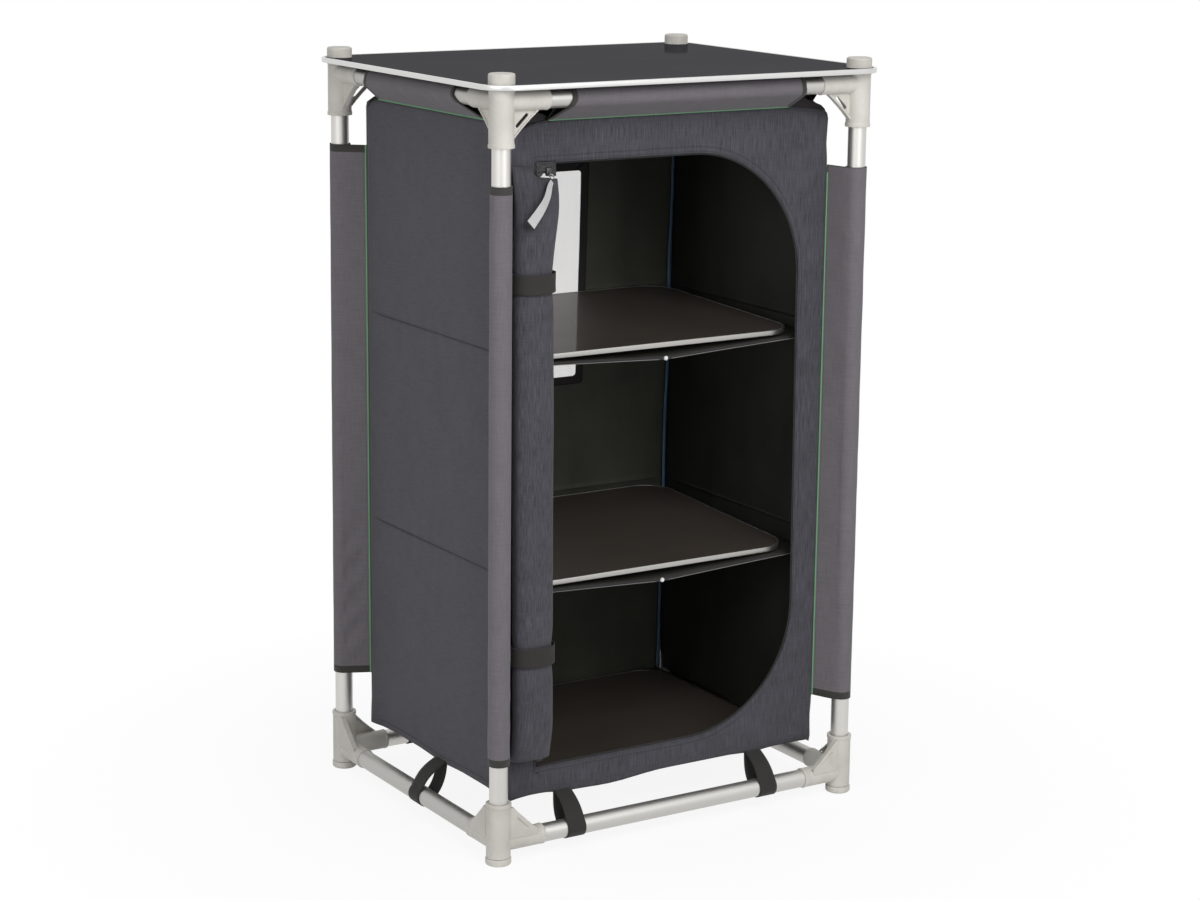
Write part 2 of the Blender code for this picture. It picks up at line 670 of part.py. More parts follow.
def rolled_door():
    """The door panel, rolled up on itself: a flattened bundle with long folds."""
    length = ROLL_Z[1] - ROLL_Z[0]
    bm = bmesh.new()
    bmesh.ops.create_cone(bm, cap_ends=True, segments=ROLL_SIDES, radius1=1, radius2=1, depth=length,
                          matrix=Matrix.Translation((0, 0, sum(ROLL_Z) / 2)))
    upright = [e for e in bm.edges if abs(e.verts[0].co.z - e.verts[1].co.z) > length / 2]
    bmesh.ops.subdivide_edges(bm, edges=upright, cuts=ROLL_RINGS - 1, use_grid_fill=True)
    for vertex in bm.verts:
        z = vertex.co.z
        angle = math.atan2(vertex.co.y, vertex.co.x)
        width, depth = roll_size(z)
        drift = 1.6 * math.sin(3.1 * z) + 0.5 * math.sin(11 * z)
        fold = ROLL_FOLD_DEPTH * (math.cos(ROLL_FOLDS * angle + drift) - 1)
        x, y = roll_point(width + fold, depth + fold, angle)
        vertex.co.xy = (ROLL_X + x, roll_middle(z, depth) + y)
    add("rolled_door", mesh_from(bm), CHARCOAL)


def door_straps():
    """A band round the roll at two heights."""
    angles = [math.tau * i / ROLL_SIDES for i in range(ROLL_SIDES)]
    for name, z in STRAP_HEIGHTS.items():
        ends = [roll_size(z + side * DOOR_STRAP_WIDTH / 2) for side in (-1, 1)]
        middle = roll_middle(z, max(depth for _, depth in ends))
        width, depth = (max(sizes) + STRAP_CLEARANCE for sizes in zip(*ends))
        inner = [roll_point(width, depth, a) for a in angles]
        outer = [roll_point(width + STRAP_THICKNESS, depth + STRAP_THICKNESS, a) for a in angles]
        band = plate(outer, DOOR_STRAP_WIDTH, [inner])
        add(f"door_strap_{name}", placed(band, ROLL_X, middle, z), WEBBING)


def bottom_straps():
    """Loops sewn to the body's lower hem that pass round the bottom rails."""
    share = LOOP_BORE_R / LOOP_R
    for name, along_x, sign, post, half, place in (
            *((f"front_{k}", True, -1, POST_Y, BODY_HALF_DEPTH[0], x) for k, x in FRONT_LOOPS.items()),
            *((f"back_{k}", True, 1, POST_Y, BODY_HALF_DEPTH[0], x) for k, x in FRONT_LOOPS.items()),
            ("left", False, -1, POST_X, BODY_HALF_WIDTH[0], SIDE_LOOP_Y),
            ("right", False, 1, POST_X, BODY_HALF_WIDTH[0], SIDE_LOOP_Y)):
        rail = Vector((sign * post, BOTTOM_RAIL_Z))
        apex = Vector((sign * (half - LOOP_TUCK), LOOP_APEX_Z))
        inner_apex = rail + (apex - rail) * share
        mesh = plate(teardrop(rail, apex, LOOP_R), STRAP_WIDTH, [teardrop(rail, inner_apex, LOOP_BORE_R)])
        stand_up(mesh, along_x=not along_x)
        placed(mesh, x=place if along_x else 0.0, y=0.0 if along_x else place)
        add(f"bottom_strap_{name}", mesh, WEBBING)


def zip_parts():
    """The slider at the start of the zip, and its puller: a curved tag hung before the slider's lug."""
    slider_y = -half_depth(SLIDER_Z) - SLIDER_CLEARANCE - SLIDER_SIZE[1] / 2
    front_y = slider_y - SLIDER_SIZE[1] / 2
    body = blank(block(SLIDER_SIZE, (SLIDER_X, slider_y, SLIDER_Z)))
    round_off = body.modifiers.new("edges", "BEVEL")
    round_off.width = SLIDER_EDGE
    round_off.segments = 2
    lug = block(SLIDER_LUG, (SLIDER_X, front_y + OVERLAP - SLIDER_LUG[1] / 2, PULL_HINGE_Z))
    add("zip_slider", fitted([evaluated(body), lug]), DARK_METAL, (SLIDER_X, slider_y, SLIDER_Z))

    hinge = Vector((SLIDER_X, front_y - PULL_REACH, PULL_HINGE_Z))
    points = [hinge + Vector((dx, -dy, dz)) for dx, dy, dz in TAG_ROUTE]
    bm = bmesh.new()
    rings = []
    for index, point in enumerate(points):
        before, after = points[max(0, index - 1)], points[min(len(points) - 1, index + 1)]
        way = (after - before).normalized()
        side = way.cross(Vector((0, 1, 0)))
        side.y = 0
        side = side.normalized() if side.length > 0.3 else Vector((1, 0, 0))
        if side.x < 0:
            side = -side
        face_way = side.cross(way).normalized()
        half_tag = TAG_WIDTH / 2 * (TAG_NECK if index < 2 else 1.0)
        ring = [bm.verts.new(point + side * half_tag * i + face_way * TAG_THICKNESS / 2 * j)
                for i, j in ((-1, -1), (1, -1), (1, 1), (-1, 1))]
        rings.append(ring)
    for first, second in zip(rings, rings[1:]):
        for k in range(4):
            bm.faces.new((first[k], first[(k + 1) % 4], second[(k + 1) % 4], second[k]))
    bm.faces.new(rings[0])
    bm.faces.new(rings[-1])
    faces_out(bm)
    add("zip_pull", mesh_from(bm), TAG_GREY, tuple(hinge))


tubes()
corners_and_feet()
tabletop()
shelves()
walls()
ceiling_and_floor()
shelf_cloths()
rail_sleeves()
post_sleeves()
rolled_door()
door_straps()
bottom_straps()
zip_parts()
print(len(parts.objects), "sub-parts")
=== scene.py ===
# %% [markdown]
# A folding camping cupboard: plug-together aluminium tubes, grey moulded corners, a charcoal cloth
# body hung inside the frame, three loose boards and a lift-off tabletop. The door panel is unzipped,
# rolled up and strapped at the left. The working model, with its joints, is already made. This
# notebook loads it as a fixed frame and dresses it: every piece below takes its place from the frame,
# and all but the bottom loops ride on one of its bodies, so that the finished cupboard still opens,
# lifts and slides.

# %% Load the frame
import json
import math

import bmesh
import bpy
from mathutils import Matrix, Vector, noise


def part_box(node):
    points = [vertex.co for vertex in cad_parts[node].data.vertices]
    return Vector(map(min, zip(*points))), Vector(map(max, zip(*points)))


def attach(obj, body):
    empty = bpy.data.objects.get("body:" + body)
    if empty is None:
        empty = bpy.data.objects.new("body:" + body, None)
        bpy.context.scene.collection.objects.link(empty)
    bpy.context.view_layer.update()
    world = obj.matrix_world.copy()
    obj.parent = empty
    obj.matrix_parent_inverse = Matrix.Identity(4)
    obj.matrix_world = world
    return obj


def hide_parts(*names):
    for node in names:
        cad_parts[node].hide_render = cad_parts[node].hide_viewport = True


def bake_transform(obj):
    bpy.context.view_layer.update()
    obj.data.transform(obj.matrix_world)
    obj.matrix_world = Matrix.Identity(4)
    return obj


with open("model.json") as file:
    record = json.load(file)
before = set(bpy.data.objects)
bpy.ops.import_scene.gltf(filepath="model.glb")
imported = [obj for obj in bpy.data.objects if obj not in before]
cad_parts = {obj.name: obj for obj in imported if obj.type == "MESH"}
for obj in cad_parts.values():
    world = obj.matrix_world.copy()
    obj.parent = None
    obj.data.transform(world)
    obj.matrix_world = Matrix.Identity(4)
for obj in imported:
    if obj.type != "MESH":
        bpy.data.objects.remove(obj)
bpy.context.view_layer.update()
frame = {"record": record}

# %% [markdown]
# The camera comes first, so that each piece can be checked in the picture as soon as it is made.
# Its place was worked out from the four corner caps and three feet in the photograph: it stands
# 3.8 m away, at the left, a little above the tabletop. The small shift is the photograph's cropping.

# %% The camera
PHOTO_WIDTH, PHOTO_HEIGHT = 1200, 900
FOCAL_PIXELS = 2760.6
AXIS_PIXEL = (577.0, 384.0)  # where the lens axis meets the picture
CAMERA_PLACE = Vector((-2.0297, -3.2288, 1.3621))
CAMERA_YAW, CAMERA_PITCH, CAMERA_ROLL = (math.radians(a) for a in (31.818, -11.544, 0.573))


def camera_axes(yaw, pitch, roll):
    """The camera's right, up and backward directions."""
    forward = Vector((math.sin(yaw) * math.cos(pitch), math.cos(yaw) * math.cos(pitch), math.sin(pitch)))
    level = Vector((math.cos(yaw), -math.sin(yaw), 0))
    upright = level.cross(forward)
    right = level * math.cos(roll) + upright * math.sin(roll)
    return right, right.cross(forward), -forward


def add_camera():
    lens = bpy.data.cameras.new("camera")
    lens.sensor_width = 36.0
    lens.sensor_fit = "HORIZONTAL"
    lens.lens = FOCAL_PIXELS * lens.sensor_width / PHOTO_WIDTH
    lens.shift_x = (PHOTO_WIDTH / 2 - AXIS_PIXEL[0]) / PHOTO_WIDTH
    lens.shift_y = (AXIS_PIXEL[1] - PHOTO_HEIGHT / 2) / PHOTO_WIDTH
    lens.clip_end = 50.0
    camera = bpy.data.objects.new("camera", lens)
    turn = Matrix(camera_axes(CAMERA_YAW, CAMERA_PITCH, CAMERA_ROLL)).transposed()
    camera.matrix_world = Matrix.Translation(CAMERA_PLACE) @ turn.to_4x4()
    bpy.context.scene.collection.objects.link(camera)
    bpy.context.scene.camera = camera
    return camera


print("lens", round(add_camera().data.lens, 1), "mm")

# %% [markdown]
# Materials are written as arithmetic. A Wire stands for a node's output, and Python's own signs on
# it add Math nodes, so `0.4 + 0.2 * cloud` reads like the formula that it is. Finish holds one
# material, and its one method `node` makes every other kind of node: settings first, then the
# values or wires of its sockets.

# %% Shader arithmetic
class Wire:
    """An output of a node in a finish, which Python's arithmetic signs work on."""

    def __init__(self, finish, socket):
        self.finish, self.socket = finish, socket

    def sign(self, operation, *terms):
        return self.finish.node("ShaderNodeMath", {"operation": operation}, dict(enumerate(terms)))

    def __add__(self, other):
        return self.sign("ADD", self, other)

    def __sub__(self, other):
        return self.sign("SUBTRACT", self, other)

    def __rsub__(self, other):
        return self.sign("SUBTRACT", other, self)

    def __mul__(self, other):
        return self.sign("MULTIPLY", self, other)

    __radd__, __rmul__ = __add__, __mul__

    def sine(self):
        return self.sign("SINE", self)

    def size(self):
        return self.sign("ABSOLUTE", self)

    def ramp(self, low, high):
        """0 below low, 1 above high, and even in between."""
        values = {"Value": self, "From Min": low, "From Max": high}
        return self.finish.node("ShaderNodeMapRange", {"clamp": True}, values)


class Finish:
    """One material, with the shader's fixed numbers given by socket name."""

    def __init__(self, name, fixed):
        self.material = bpy.data.materials.new(name)
        self.material.use_nodes = True
        self.tree = self.material.node_tree
        self.shader = self.tree.nodes["Principled BSDF"]
        for socket, value in fixed.items():
            self.shader.inputs[socket].default_value = value

    def node(self, kind, settings=None, values=None, output=0):
        node = self.tree.nodes.new(kind)
        for name, value in (settings or {}).items():
            setattr(node, name, value)
        for name, value in (values or {}).items():
            self.feed(node.inputs[name], value)
        return Wire(self, node.outputs[output])

    def feed(self, socket, value):
        if isinstance(value, Wire):
            self.tree.links.new(value.socket, socket)
        else:
            socket.default_value = value

    def put(self, **drives):
        """Links wires to the shader: put(Base_Color=wire)."""
        for name, value in drives.items():
            self.feed(self.shader.inputs[name.replace("_", " ")], value)

    def place(self, scale=(1, 1, 1), source="Object"):
        """The point on the piece in metres, from the object or from its UV map, times a scale."""
        point = self.node("ShaderNodeTexCoord", output=source)
        return self.node("ShaderNodeMapping", values={"Vector": point, "Scale": scale})

    def split(self, vector):
        """The X and the Y wire of a vector."""
        node = self.tree.nodes.new("ShaderNodeSeparateXYZ")
        self.feed(node.inputs[0], vector)
        return Wire(self, node.outputs[0]), Wire(self, node.outputs[1])

    def noise(self, vector, scale=1.0, detail=2.0, roughness=0.5):
        values = {"Vector": vector, "Scale": scale, "Detail": detail, "Roughness": roughness}
        return self.node("ShaderNodeTexNoise", values=values)

    def mix(self, share, first, second):
        return self.node("ShaderNodeMix", {"data_type": "RGBA"}, {0: share, 6: first, 7: second}, output=2)

    def bump(self, height, depth, strength):
        """Raises the surface by height, from 0 to 1, times a depth in metres."""
        values = {"Height": height, "Distance": depth, "Strength": strength}
        self.put(Normal=self.node("ShaderNodeBump", values=values))
        return self.material


def paint(red, green, blue):
    """A colour as it is read off a screen, 0 to 255, as the shader's linear colour."""
    steps = [c / 255 for c in (red, green, blue)]
    return (*[s / 12.92 if s <= 0.04045 else ((s + 0.055) / 1.055) ** 2.4 for s in steps], 1.0)


print("dark cloth is", [round(c, 3) for c in paint(72, 72, 78)])

# %% [markdown]
# The corners, caps and feet are one warm grey plastic, moulded with a fine spark-eroded texture
# that dulls its gloss. A real moulding is never one flat colour: it clouds a little where the melt
# cooled at another pace, so the colour drifts over a few centimetres.

# %% Moulded plastic
def moulded_plastic():
    made = Finish("moulded_plastic", {"Specular IOR Level": 0.4})
    cloud = made.noise(made.place(), 28.0, detail=3.0)
    grain = made.noise(made.place(), 2100.0, detail=1.0)
    rubbed = made.noise(made.place((1, 1, 0.3)), 160.0, detail=4.0).ramp(0.60, 0.74)
    colour = made.mix(cloud.ramp(0.3, 0.7), paint(193, 189, 181), paint(208, 205, 198))
    made.put(Base_Color=made.mix(rubbed * 0.35, colour, paint(176, 172, 165)))
    made.put(Roughness=0.42 + 0.14 * cloud + 0.10 * rubbed)
    return made.bump(grain, 0.00003, 0.5)


PLASTIC = moulded_plastic()
print(PLASTIC.name)

# %% [markdown]
# The tubes are drawn aluminium with a satin anodised skin. Drawing leaves hair-fine streaks along
# the tube, so the noise is stretched hard along the axis. Posts and rails run along three axes, and
# each axis has its own copy of the finish. Each copy is painted at its own level of light: the posts
# lightest and the rails along Y darkest, as painted light and shade on the one metal.

# %% Drawn aluminium
STREAK = 1600.0  # streaks in a metre across the tube
STREAK_ALONG = 9.0


def drawn_aluminium(name, axis, colour, rough=0.42):
    made = Finish(name, {"Metallic": 1.0})
    scale = [STREAK] * 3
    scale[axis] = STREAK_ALONG
    streaks = made.noise(made.place(scale), detail=2.0)
    cloud = made.noise(made.place(), 22.0, detail=2.0)
    shade = tuple(c * 0.86 for c in colour[:3])
    made.put(Base_Color=made.mix(0.7 * streaks + 0.3 * cloud, (*shade, 1.0), colour))
    made.put(Roughness=rough - 0.06 + 0.16 * streaks + 0.05 * cloud)
    return made.bump(streaks, 0.00001, 0.25)


ALUMINIUM = {}
# The brightness of each axis is painted light and shade: one metal, written lighter or darker by axis.
for index, (axis, bright) in enumerate((("x", 0.60), ("y", 0.50), ("z", 0.68))):
    painted_light_tint = (bright, 0.98 * bright, 0.935 * bright, 1.0)
    ALUMINIUM[axis] = drawn_aluminium(f"drawn_aluminium_{axis}", index, painted_light_tint)
EDGE_ALUMINIUM = drawn_aluminium("edge_aluminium", 2, (0.72, 0.72, 0.71, 1.0), 0.34)
# The shelves' and the base board's edges are the tabletop's metal, painted darker as painted shade inside
# the body.
SHELF_EDGE_PAINTED_SHADE = drawn_aluminium("shelf_edge_aluminium", 2, (0.50, 0.49, 0.47, 1.0), 0.40)
BASE_EDGE_PAINTED_SHADE = drawn_aluminium("base_edge_aluminium_painted_shade", 2, (0.20, 0.19, 0.18, 1.0), 0.45)
print(len(ALUMINIUM) + 3, "aluminium finishes")

# %% [markdown]
# The cloth is a plain weave of dark yarns that aren't all one tone, which is why the body shows
# fine streaks up and down and a fleck across. The pattern lives in the cloth's own UV map, which is
# in metres on the flat cloth, so that it follows each fold. The weave itself is half a millimetre,
# and gives the bump. The yarns' tones are slower noises, stretched along the yarn.

# %% Woven cloth
def woven(name, dark, light, streaks, fleck=0.35, pitch=0.00055):
    made = Finish(name, {"Sheen Weight": 0.12, "Sheen Roughness": 0.5, "Specular IOR Level": 0.25})
    across, up = made.split(made.place(source="UV"))
    weave = (across * (math.tau / pitch)).sine() * (up * (math.tau / pitch)).sine()
    warp = made.noise(made.place((620, 38, 1), "UV"), detail=3.0, roughness=0.62)
    weft = made.noise(made.place((34, 640, 1), "UV"), detail=3.0, roughness=0.62)
    cloud = made.noise(made.place(source="UV"), 14.0, detail=2.0)
    tone = 0.5 + streaks * 2.0 * (warp - 0.5) + fleck * 2.0 * (weft - 0.5)
    share = (tone + 0.10 * weave + 0.25 * (cloud - 0.5)).ramp(0.0, 1.0)
    made.put(Base_Color=made.mix(share, dark, light))
    made.put(Roughness=0.86 - 0.08 * warp)
    return made.bump(0.5 + 0.4 * weave + 0.3 * warp, 0.00012, 0.5)


BODY_CLOTH = woven("charcoal_body_cloth", paint(30, 29, 33), paint(90, 89, 97), streaks=0.65, fleck=0.2)
SIDE_CLOTH = woven("charcoal_side_cloth", paint(58, 57, 62), paint(90, 89, 95), streaks=0.2, fleck=0.5)
SLEEVE_CLOTH = woven("grey_sleeve_cloth", paint(86, 83, 87), paint(122, 117, 122), streaks=0.3, fleck=0.3)
HEM_CLOTH = woven("dark_hem_tape", paint(50, 49, 47), paint(66, 65, 62), pitch=0.0008, streaks=0.2)
print(BODY_CLOTH.name, SLEEVE_CLOTH.name)

# %% [markdown]
# Inside, the cloth is coated black against rain. The coating fills the weave, so the inner side is
# smoother than the outer, with a dull sheen and soft creases where it was folded in its bag.

# %% Coated inner side
COAT_PITCH = 0.0007  # of the weave that shows through the coating


def coated(name, dark, light, rough=0.52):
    made = Finish(name, {"Specular IOR Level": 0.35})
    across, up = made.split(made.place(source="UV"))
    weave = (across * (math.tau / COAT_PITCH)).sine() * (up * (math.tau / COAT_PITCH)).sine()
    crease = made.noise(made.place((16, 2.2, 1), "UV"), detail=4.0, roughness=0.6)
    cloud = made.noise(made.place(source="UV"), 9.0, detail=3.0)
    made.put(Base_Color=made.mix((0.5 * crease + 0.5 * cloud).ramp(0.3, 0.7), dark, light))
    made.put(Roughness=rough + 0.16 * (crease - 0.5))
    return made.bump(crease + 0.04 * weave, 0.0011, 0.45)


INNER_CLOTH = coated("black_coated_cloth", paint(33, 33, 31), paint(52, 52, 47))
TAB_CLOTH = coated("black_tab_cloth", paint(27, 24, 25), paint(42, 37, 38), rough=0.7)
# The back wall's inside is the same black coating, painted lighter and olive as painted light from the
# door.
INNER_BACK_PAINTED_LIGHT = coated("back_inner_cloth_painted_light", paint(50, 51, 44), paint(72, 73, 63))
BINDING = coated("blue_binding", paint(80, 108, 138), paint(100, 130, 160), rough=0.6)
BINDING_BACK = coated("brown_binding", paint(74, 66, 56), paint(92, 82, 70), rough=0.6)
PIPING = coated("green_piping", paint(92, 140, 104), paint(118, 163, 124), rough=0.55)
print(INNER_CLOTH.name, BINDING.name, PIPING.name)

# %% [markdown]
# Webbing is woven far thicker than cloth: ribs run across the strap, crossed by a slanting twill.

# %% Webbing, thread and zip
def webbing(name, dark, light, rib=0.0013):
    made = Finish(name, {"Sheen Weight": 0.1, "Specular IOR Level": 0.3})
    along, across = made.split(made.place(source="UV"))
    ribs = (along * (math.tau / rib)).sine()
    twill = ((along + across) * (math.tau / (2.2 * rib))).sine()
    fuzz = made.noise(made.place(source="UV"), 900.0, detail=2.0)
    tone = 0.5 + 0.25 * ribs + 0.2 * twill + 0.4 * (fuzz - 0.5)
    made.put(Base_Color=made.mix(tone.ramp(0, 1), dark, light))
    made.put(Roughness=0.66 + 0.18 * fuzz)
    return made.bump(0.5 + 0.3 * ribs + 0.2 * twill, 0.0003, 0.6)


def grainy(name, dark, light, scale, rough, depth, fixed):
    """A finish with a fine irregular grain, for thread, coil and cast metal."""
    made = Finish(name, fixed)
    grain = made.noise(made.place(), scale, detail=3.0)
    cloud = made.noise(made.place(), 24.0, detail=2.0)
    made.put(Base_Color=made.mix((0.6 * grain + 0.4 * cloud).ramp(0.3, 0.7), dark, light))
    made.put(Roughness=rough + 0.14 * (grain - 0.5) + 0.08 * (cloud - 0.5))
    return made.bump(grain, depth, 0.5)


WEBBING = webbing("black_webbing", paint(28, 27, 26), paint(50, 48, 46))
TAG_WEAVE = webbing("woven_grey_tag", paint(176, 176, 176), paint(212, 212, 211), rib=0.0006)
STUD_CAP = grainy("white_stud_cap", paint(222, 222, 219), paint(238, 238, 235), 900.0, 0.4, 0.00002, {})
TAG_EDGE = webbing("tag_edge", paint(26, 26, 26), paint(44, 44, 44), rib=0.0006)
THREAD = grainy("grey_thread", paint(60, 60, 66), paint(78, 78, 84), 4200.0, 0.8, 0.00005, {})
CORD = grainy("pale_hem_cord", paint(104, 104, 104), paint(128, 128, 128), 3000.0, 0.8, 0.00005, {})
DARK_THREAD = grainy("dark_thread", paint(30, 30, 33), paint(46, 46, 50), 4200.0, 0.8, 0.00005, {})
COIL = grainy("black_zip_coil", paint(14, 14, 15), paint(30, 30, 32), 1500.0, 0.42, 0.00004, {})
METAL = {"Metallic": 1.0}
DARK_METAL = grainy("dark_plated_metal", (0.05, 0.05, 0.05, 1), (0.11, 0.11, 0.11, 1), 1800.0, 0.36,
                    0.00003, METAL)
BRIGHT_METAL = grainy("nickel_metal", (0.62, 0.62, 0.6, 1), (0.78, 0.78, 0.76, 1), 1300.0, 0.25,
                      0.00002, METAL)
print(WEBBING.name, COIL.name)

# %% [markdown]
# The boards are fibreboard faced with plastic laminate. In the photograph the tabletop mirrors its
# caps faintly, so it is a dark board under a thin clear film, and much of its grey is the pale room
# in that film. The shelf boards are a brownish black, and smooth enough to show the window.

# %% Laminates
def laminate(name, dark, light, rough, specular, coat):
    made = Finish(name, {"Specular IOR Level": specular, "Coat Weight": coat, "Coat Roughness": 0.06})
    pebble = made.noise(made.place(), 1500.0, detail=2.0)
    cloud = made.noise(made.place(), 7.0, detail=3.0)
    wiped = made.noise(made.place((0.35, 1, 1)), 16.0, detail=4.0, roughness=0.6)
    made.put(Base_Color=made.mix((0.6 * cloud + 0.4 * pebble).ramp(0.3, 0.7), dark, light))
    made.put(Roughness=rough + 0.10 * (cloud - 0.5) + 0.12 * (wiped - 0.5))
    return made.bump(pebble, 0.00001, 0.4)


TABLE_LAMINATE = laminate("charcoal_laminate", paint(42, 41, 46), paint(50, 49, 55), 0.6, 0.0, 0.08)
SHELF_LAMINATE = laminate("black_brown_laminate", paint(62, 56, 51), paint(74, 67, 61), 0.5, 0.2, 0.35)
print(TABLE_LAMINATE.name, SHELF_LAMINATE.name)

# %% [markdown]
# The window is a fine net, with a thread every 1.2 mm both ways. To model each thread would take a
# very large number of faces, so the threads are drawn as an alpha grid on a real sheet, and the holes
# let the daylight through.

# %% Netting
NET_PITCH = 0.0012


def netting():
    made = Finish("window_net", {"Roughness": 0.8, "Specular IOR Level": 0.2})
    across, up = made.split(made.place(source="UV"))
    threads = [(way * (math.pi / NET_PITCH)).sine().size().ramp(0.955, 0.995) for way in (across, up)]
    solid = made.node("ShaderNodeMath", {"operation": "MAXIMUM"}, dict(enumerate(threads)))
    cloud = made.noise(made.place(source="UV"), 30.0, detail=2.0)
    made.put(Base_Color=made.mix(cloud, paint(216, 204, 198), paint(228, 218, 212)))
    made.put(Alpha=0.02 + 0.84 * solid)
    return made.bump(solid, 0.0001, 0.4)


NETTING = netting()
print(NETTING.name)

# %% [markdown]
# Every new piece passes through `piece`: the bmesh becomes a mesh at the origin, gets its finishes,
# is shaded smooth except at real edges, stands in for its solids and rides on its body.

# %% From bmesh to piece
def mesh_of(bm):
    mesh = bpy.data.meshes.new("mesh")
    bm.to_mesh(mesh)
    bm.free()
    return mesh


def piece(name, shape, finishes, body, instead=(), sharp=40):
    """A finished piece from a bmesh or a mesh. body None leaves it on no body."""
    mesh = mesh_of(shape) if isinstance(shape, bmesh.types.BMesh) else shape
    mesh.name = name
    for finish in finishes:
        mesh.materials.append(finish)
    mesh.shade_smooth()
    mesh.set_sharp_from_angle(angle=math.radians(sharp))
    made = bpy.data.objects.new(name, mesh)
    bpy.context.scene.collection.objects.link(made)
    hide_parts(*instead)
    if body:
        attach(made, body)
    return made


def merged(*parts):
    """One bmesh from several, whose pieces stay loose."""
    whole = bmesh.new()
    for part in parts:
        mesh = mesh_of(part)
        whole.from_mesh(mesh)
        bpy.data.meshes.remove(mesh)
    return whole


def final_mesh(made):
    """The mesh that an object's modifiers give."""
    bpy.context.view_layer.update()
    return bpy.data.meshes.new_from_object(made.evaluated_get(bpy.context.evaluated_depsgraph_get()))


def evaluated(made):
    """The same mesh, where the object itself isn't needed any more and is removed."""
    mesh = final_mesh(made)
    bpy.data.objects.remove(made, do_unlink=True)
    return mesh


def scratch(shape):
    """A hidden object for a bmesh or a mesh, to carry modifiers for a moment."""
    mesh = mesh_of(shape) if isinstance(shape, bmesh.types.BMesh) else shape
    made = bpy.data.objects.new("scratch", mesh)
    bpy.context.scene.collection.objects.link(made)
    made.hide_render = True
    return made


def middle(node):
    low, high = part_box(node)
    return (low + high) / 2


def size(node):
    low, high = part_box(node)
    return high - low


CORNERS = {"fl": (-1, -1), "fr": (1, -1), "bl": (-1, 1), "br": (1, 1)}
POST = middle("post_br")
TUBE_R = size("post_br").x / 2
LOW_RAIL_Z = middle("rail_bottom_front").z
TOP_RAIL_Z = middle("rail_top_front").z
print("posts at", [round(v, 4) for v in POST.xy], "tube", round(2000 * TUBE_R, 1), "mm")

# %% [markdown]
# Most hard pieces of the frame are round, so one helper turns them. Blender could do it with a
# Screw modifier, but `bmesh.ops.spin` gives the mesh at once. The profile is a list of (radius,
# height) points. A closed profile that stays off the axis makes a tube with a real wall.

# %% Turning on a lathe
def lathe(profile, steps=64, closed=False, place=None):
    bm = bmesh.new()
    rim = [bm.verts.new((radius, 0, height)) for radius, height in profile]
    ends = list(zip(rim, rim[1:])) + ([(rim[-1], rim[0])] if closed else [])
    edges = [bm.edges.new(pair) for pair in ends]
    bmesh.ops.spin(bm, geom=rim + edges, cent=(0, 0, 0), axis=(0, 0, 1), angle=math.tau,
                   steps=steps, use_merge=True)
    bmesh.ops.remove_doubles(bm, verts=bm.verts, dist=1e-6)
    bmesh.ops.recalc_face_normals(bm, faces=bm.faces)
    if place:
        bm.transform(place)
    return bm


def along(start, end):
    """The placement that takes +Z from the origin to the line from start to end."""
    way = Vector(end) - Vector(start)
    return Matrix.Translation(start) @ Vector((0, 0, 1)).rotation_difference(way).to_matrix().to_4x4()


def arc_points(centre, radius, first, last, steps):
    """Points on an arc, angles in degrees."""
    angles = [math.radians(first + (last - first) * i / steps) for i in range(steps + 1)]
    return [(centre[0] + radius * math.cos(a), centre[1] + radius * math.sin(a)) for a in angles]


print("lathe ready")

# %% Posts and rails
TUBE_WALL = 0.001
CUT_EDGE = 0.0003  # the tube's deburred ends


def tube(name, axis, body):
    low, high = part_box(name)
    start, end = (low + high) / 2, (low + high) / 2
    start[axis], end[axis] = low[axis], high[axis]
    length, inside = high[axis] - low[axis], TUBE_R - TUBE_WALL
    wall = [(TUBE_R, CUT_EDGE), (TUBE_R, length - CUT_EDGE), (TUBE_R - CUT_EDGE, length),
            (inside, length), (inside, 0), (TUBE_R - CUT_EDGE, 0)]
    bm = lathe(wall, closed=True, place=along(start, end))
    return piece(f"{name}_tube", bm, [ALUMINIUM["xyz"[axis]]], body, [name], sharp=30)


for corner in CORNERS:
    tube(f"post_{corner}", 2, "base_frame")
for level, body in (("bottom", "base_frame"), ("top", "top_frame")):
    for place, axis in (("front", 0), ("back", 0), ("left", 1), ("right", 1)):
        tube(f"rail_{level}_{place}", axis, body)
print("12 tubes")

# %% [markdown]
# A corner is one moulding: a socket for the post with a collar at its mouth, two arms that plug
# into the rails, and a slotted gusset with a thick rim between each arm and the socket. The parts
# are turned or cut plainly, united, and then remeshed with voxels of half a millimetre. That melts
# every joint into the small fillet that a mould leaves, which no bevel on a boolean would do safely.

# %% The corner's plain parts
SOCKET_R, COLLAR_R, COLLAR_HEIGHT = 0.0165, 0.0173, 0.0052
ARM_R, ARM_REACH, ARM_RING = 0.0137, 0.0665, 0.0004
CAP_R, CAP_ROUND = 0.0174, 0.0028
WEB_THICKNESS, WEB_ON_ARM, WEB_ON_SOCKET = 0.0030, 0.053, 0.0487
RIM_WIDTH, RIM_THICKNESS = 0.0085, 0.0021
SLOT_LENGTH, SLOT_WIDTH, SLOT_INSET = 0.024, 0.0046, 0.0068
GROOVE_WIDTH, GROOVE_DEPTH = 0.0020, 0.0016
BORE_R = TUBE_R + 0.0003


def extruded(points, thickness, place):
    """A flat outline in X and Y, thickened evenly to both sides of its plane."""
    bm = bmesh.new()
    face = bm.faces.new([bm.verts.new((x, y, -thickness / 2)) for x, y in points])
    raised = bmesh.ops.extrude_face_region(bm, geom=[face], use_keep_orig=True)
    top = [v for v in raised["geom"] if isinstance(v, bmesh.types.BMVert)]
    bmesh.ops.translate(bm, verts=top, vec=(0, 0, thickness))
    bmesh.ops.recalc_face_normals(bm, faces=bm.faces)
    bm.transform(place)
    return bm


UPRIGHT = Matrix.Rotation(math.radians(90), 4, "X")  # a plate in X and Y to one in X and Z


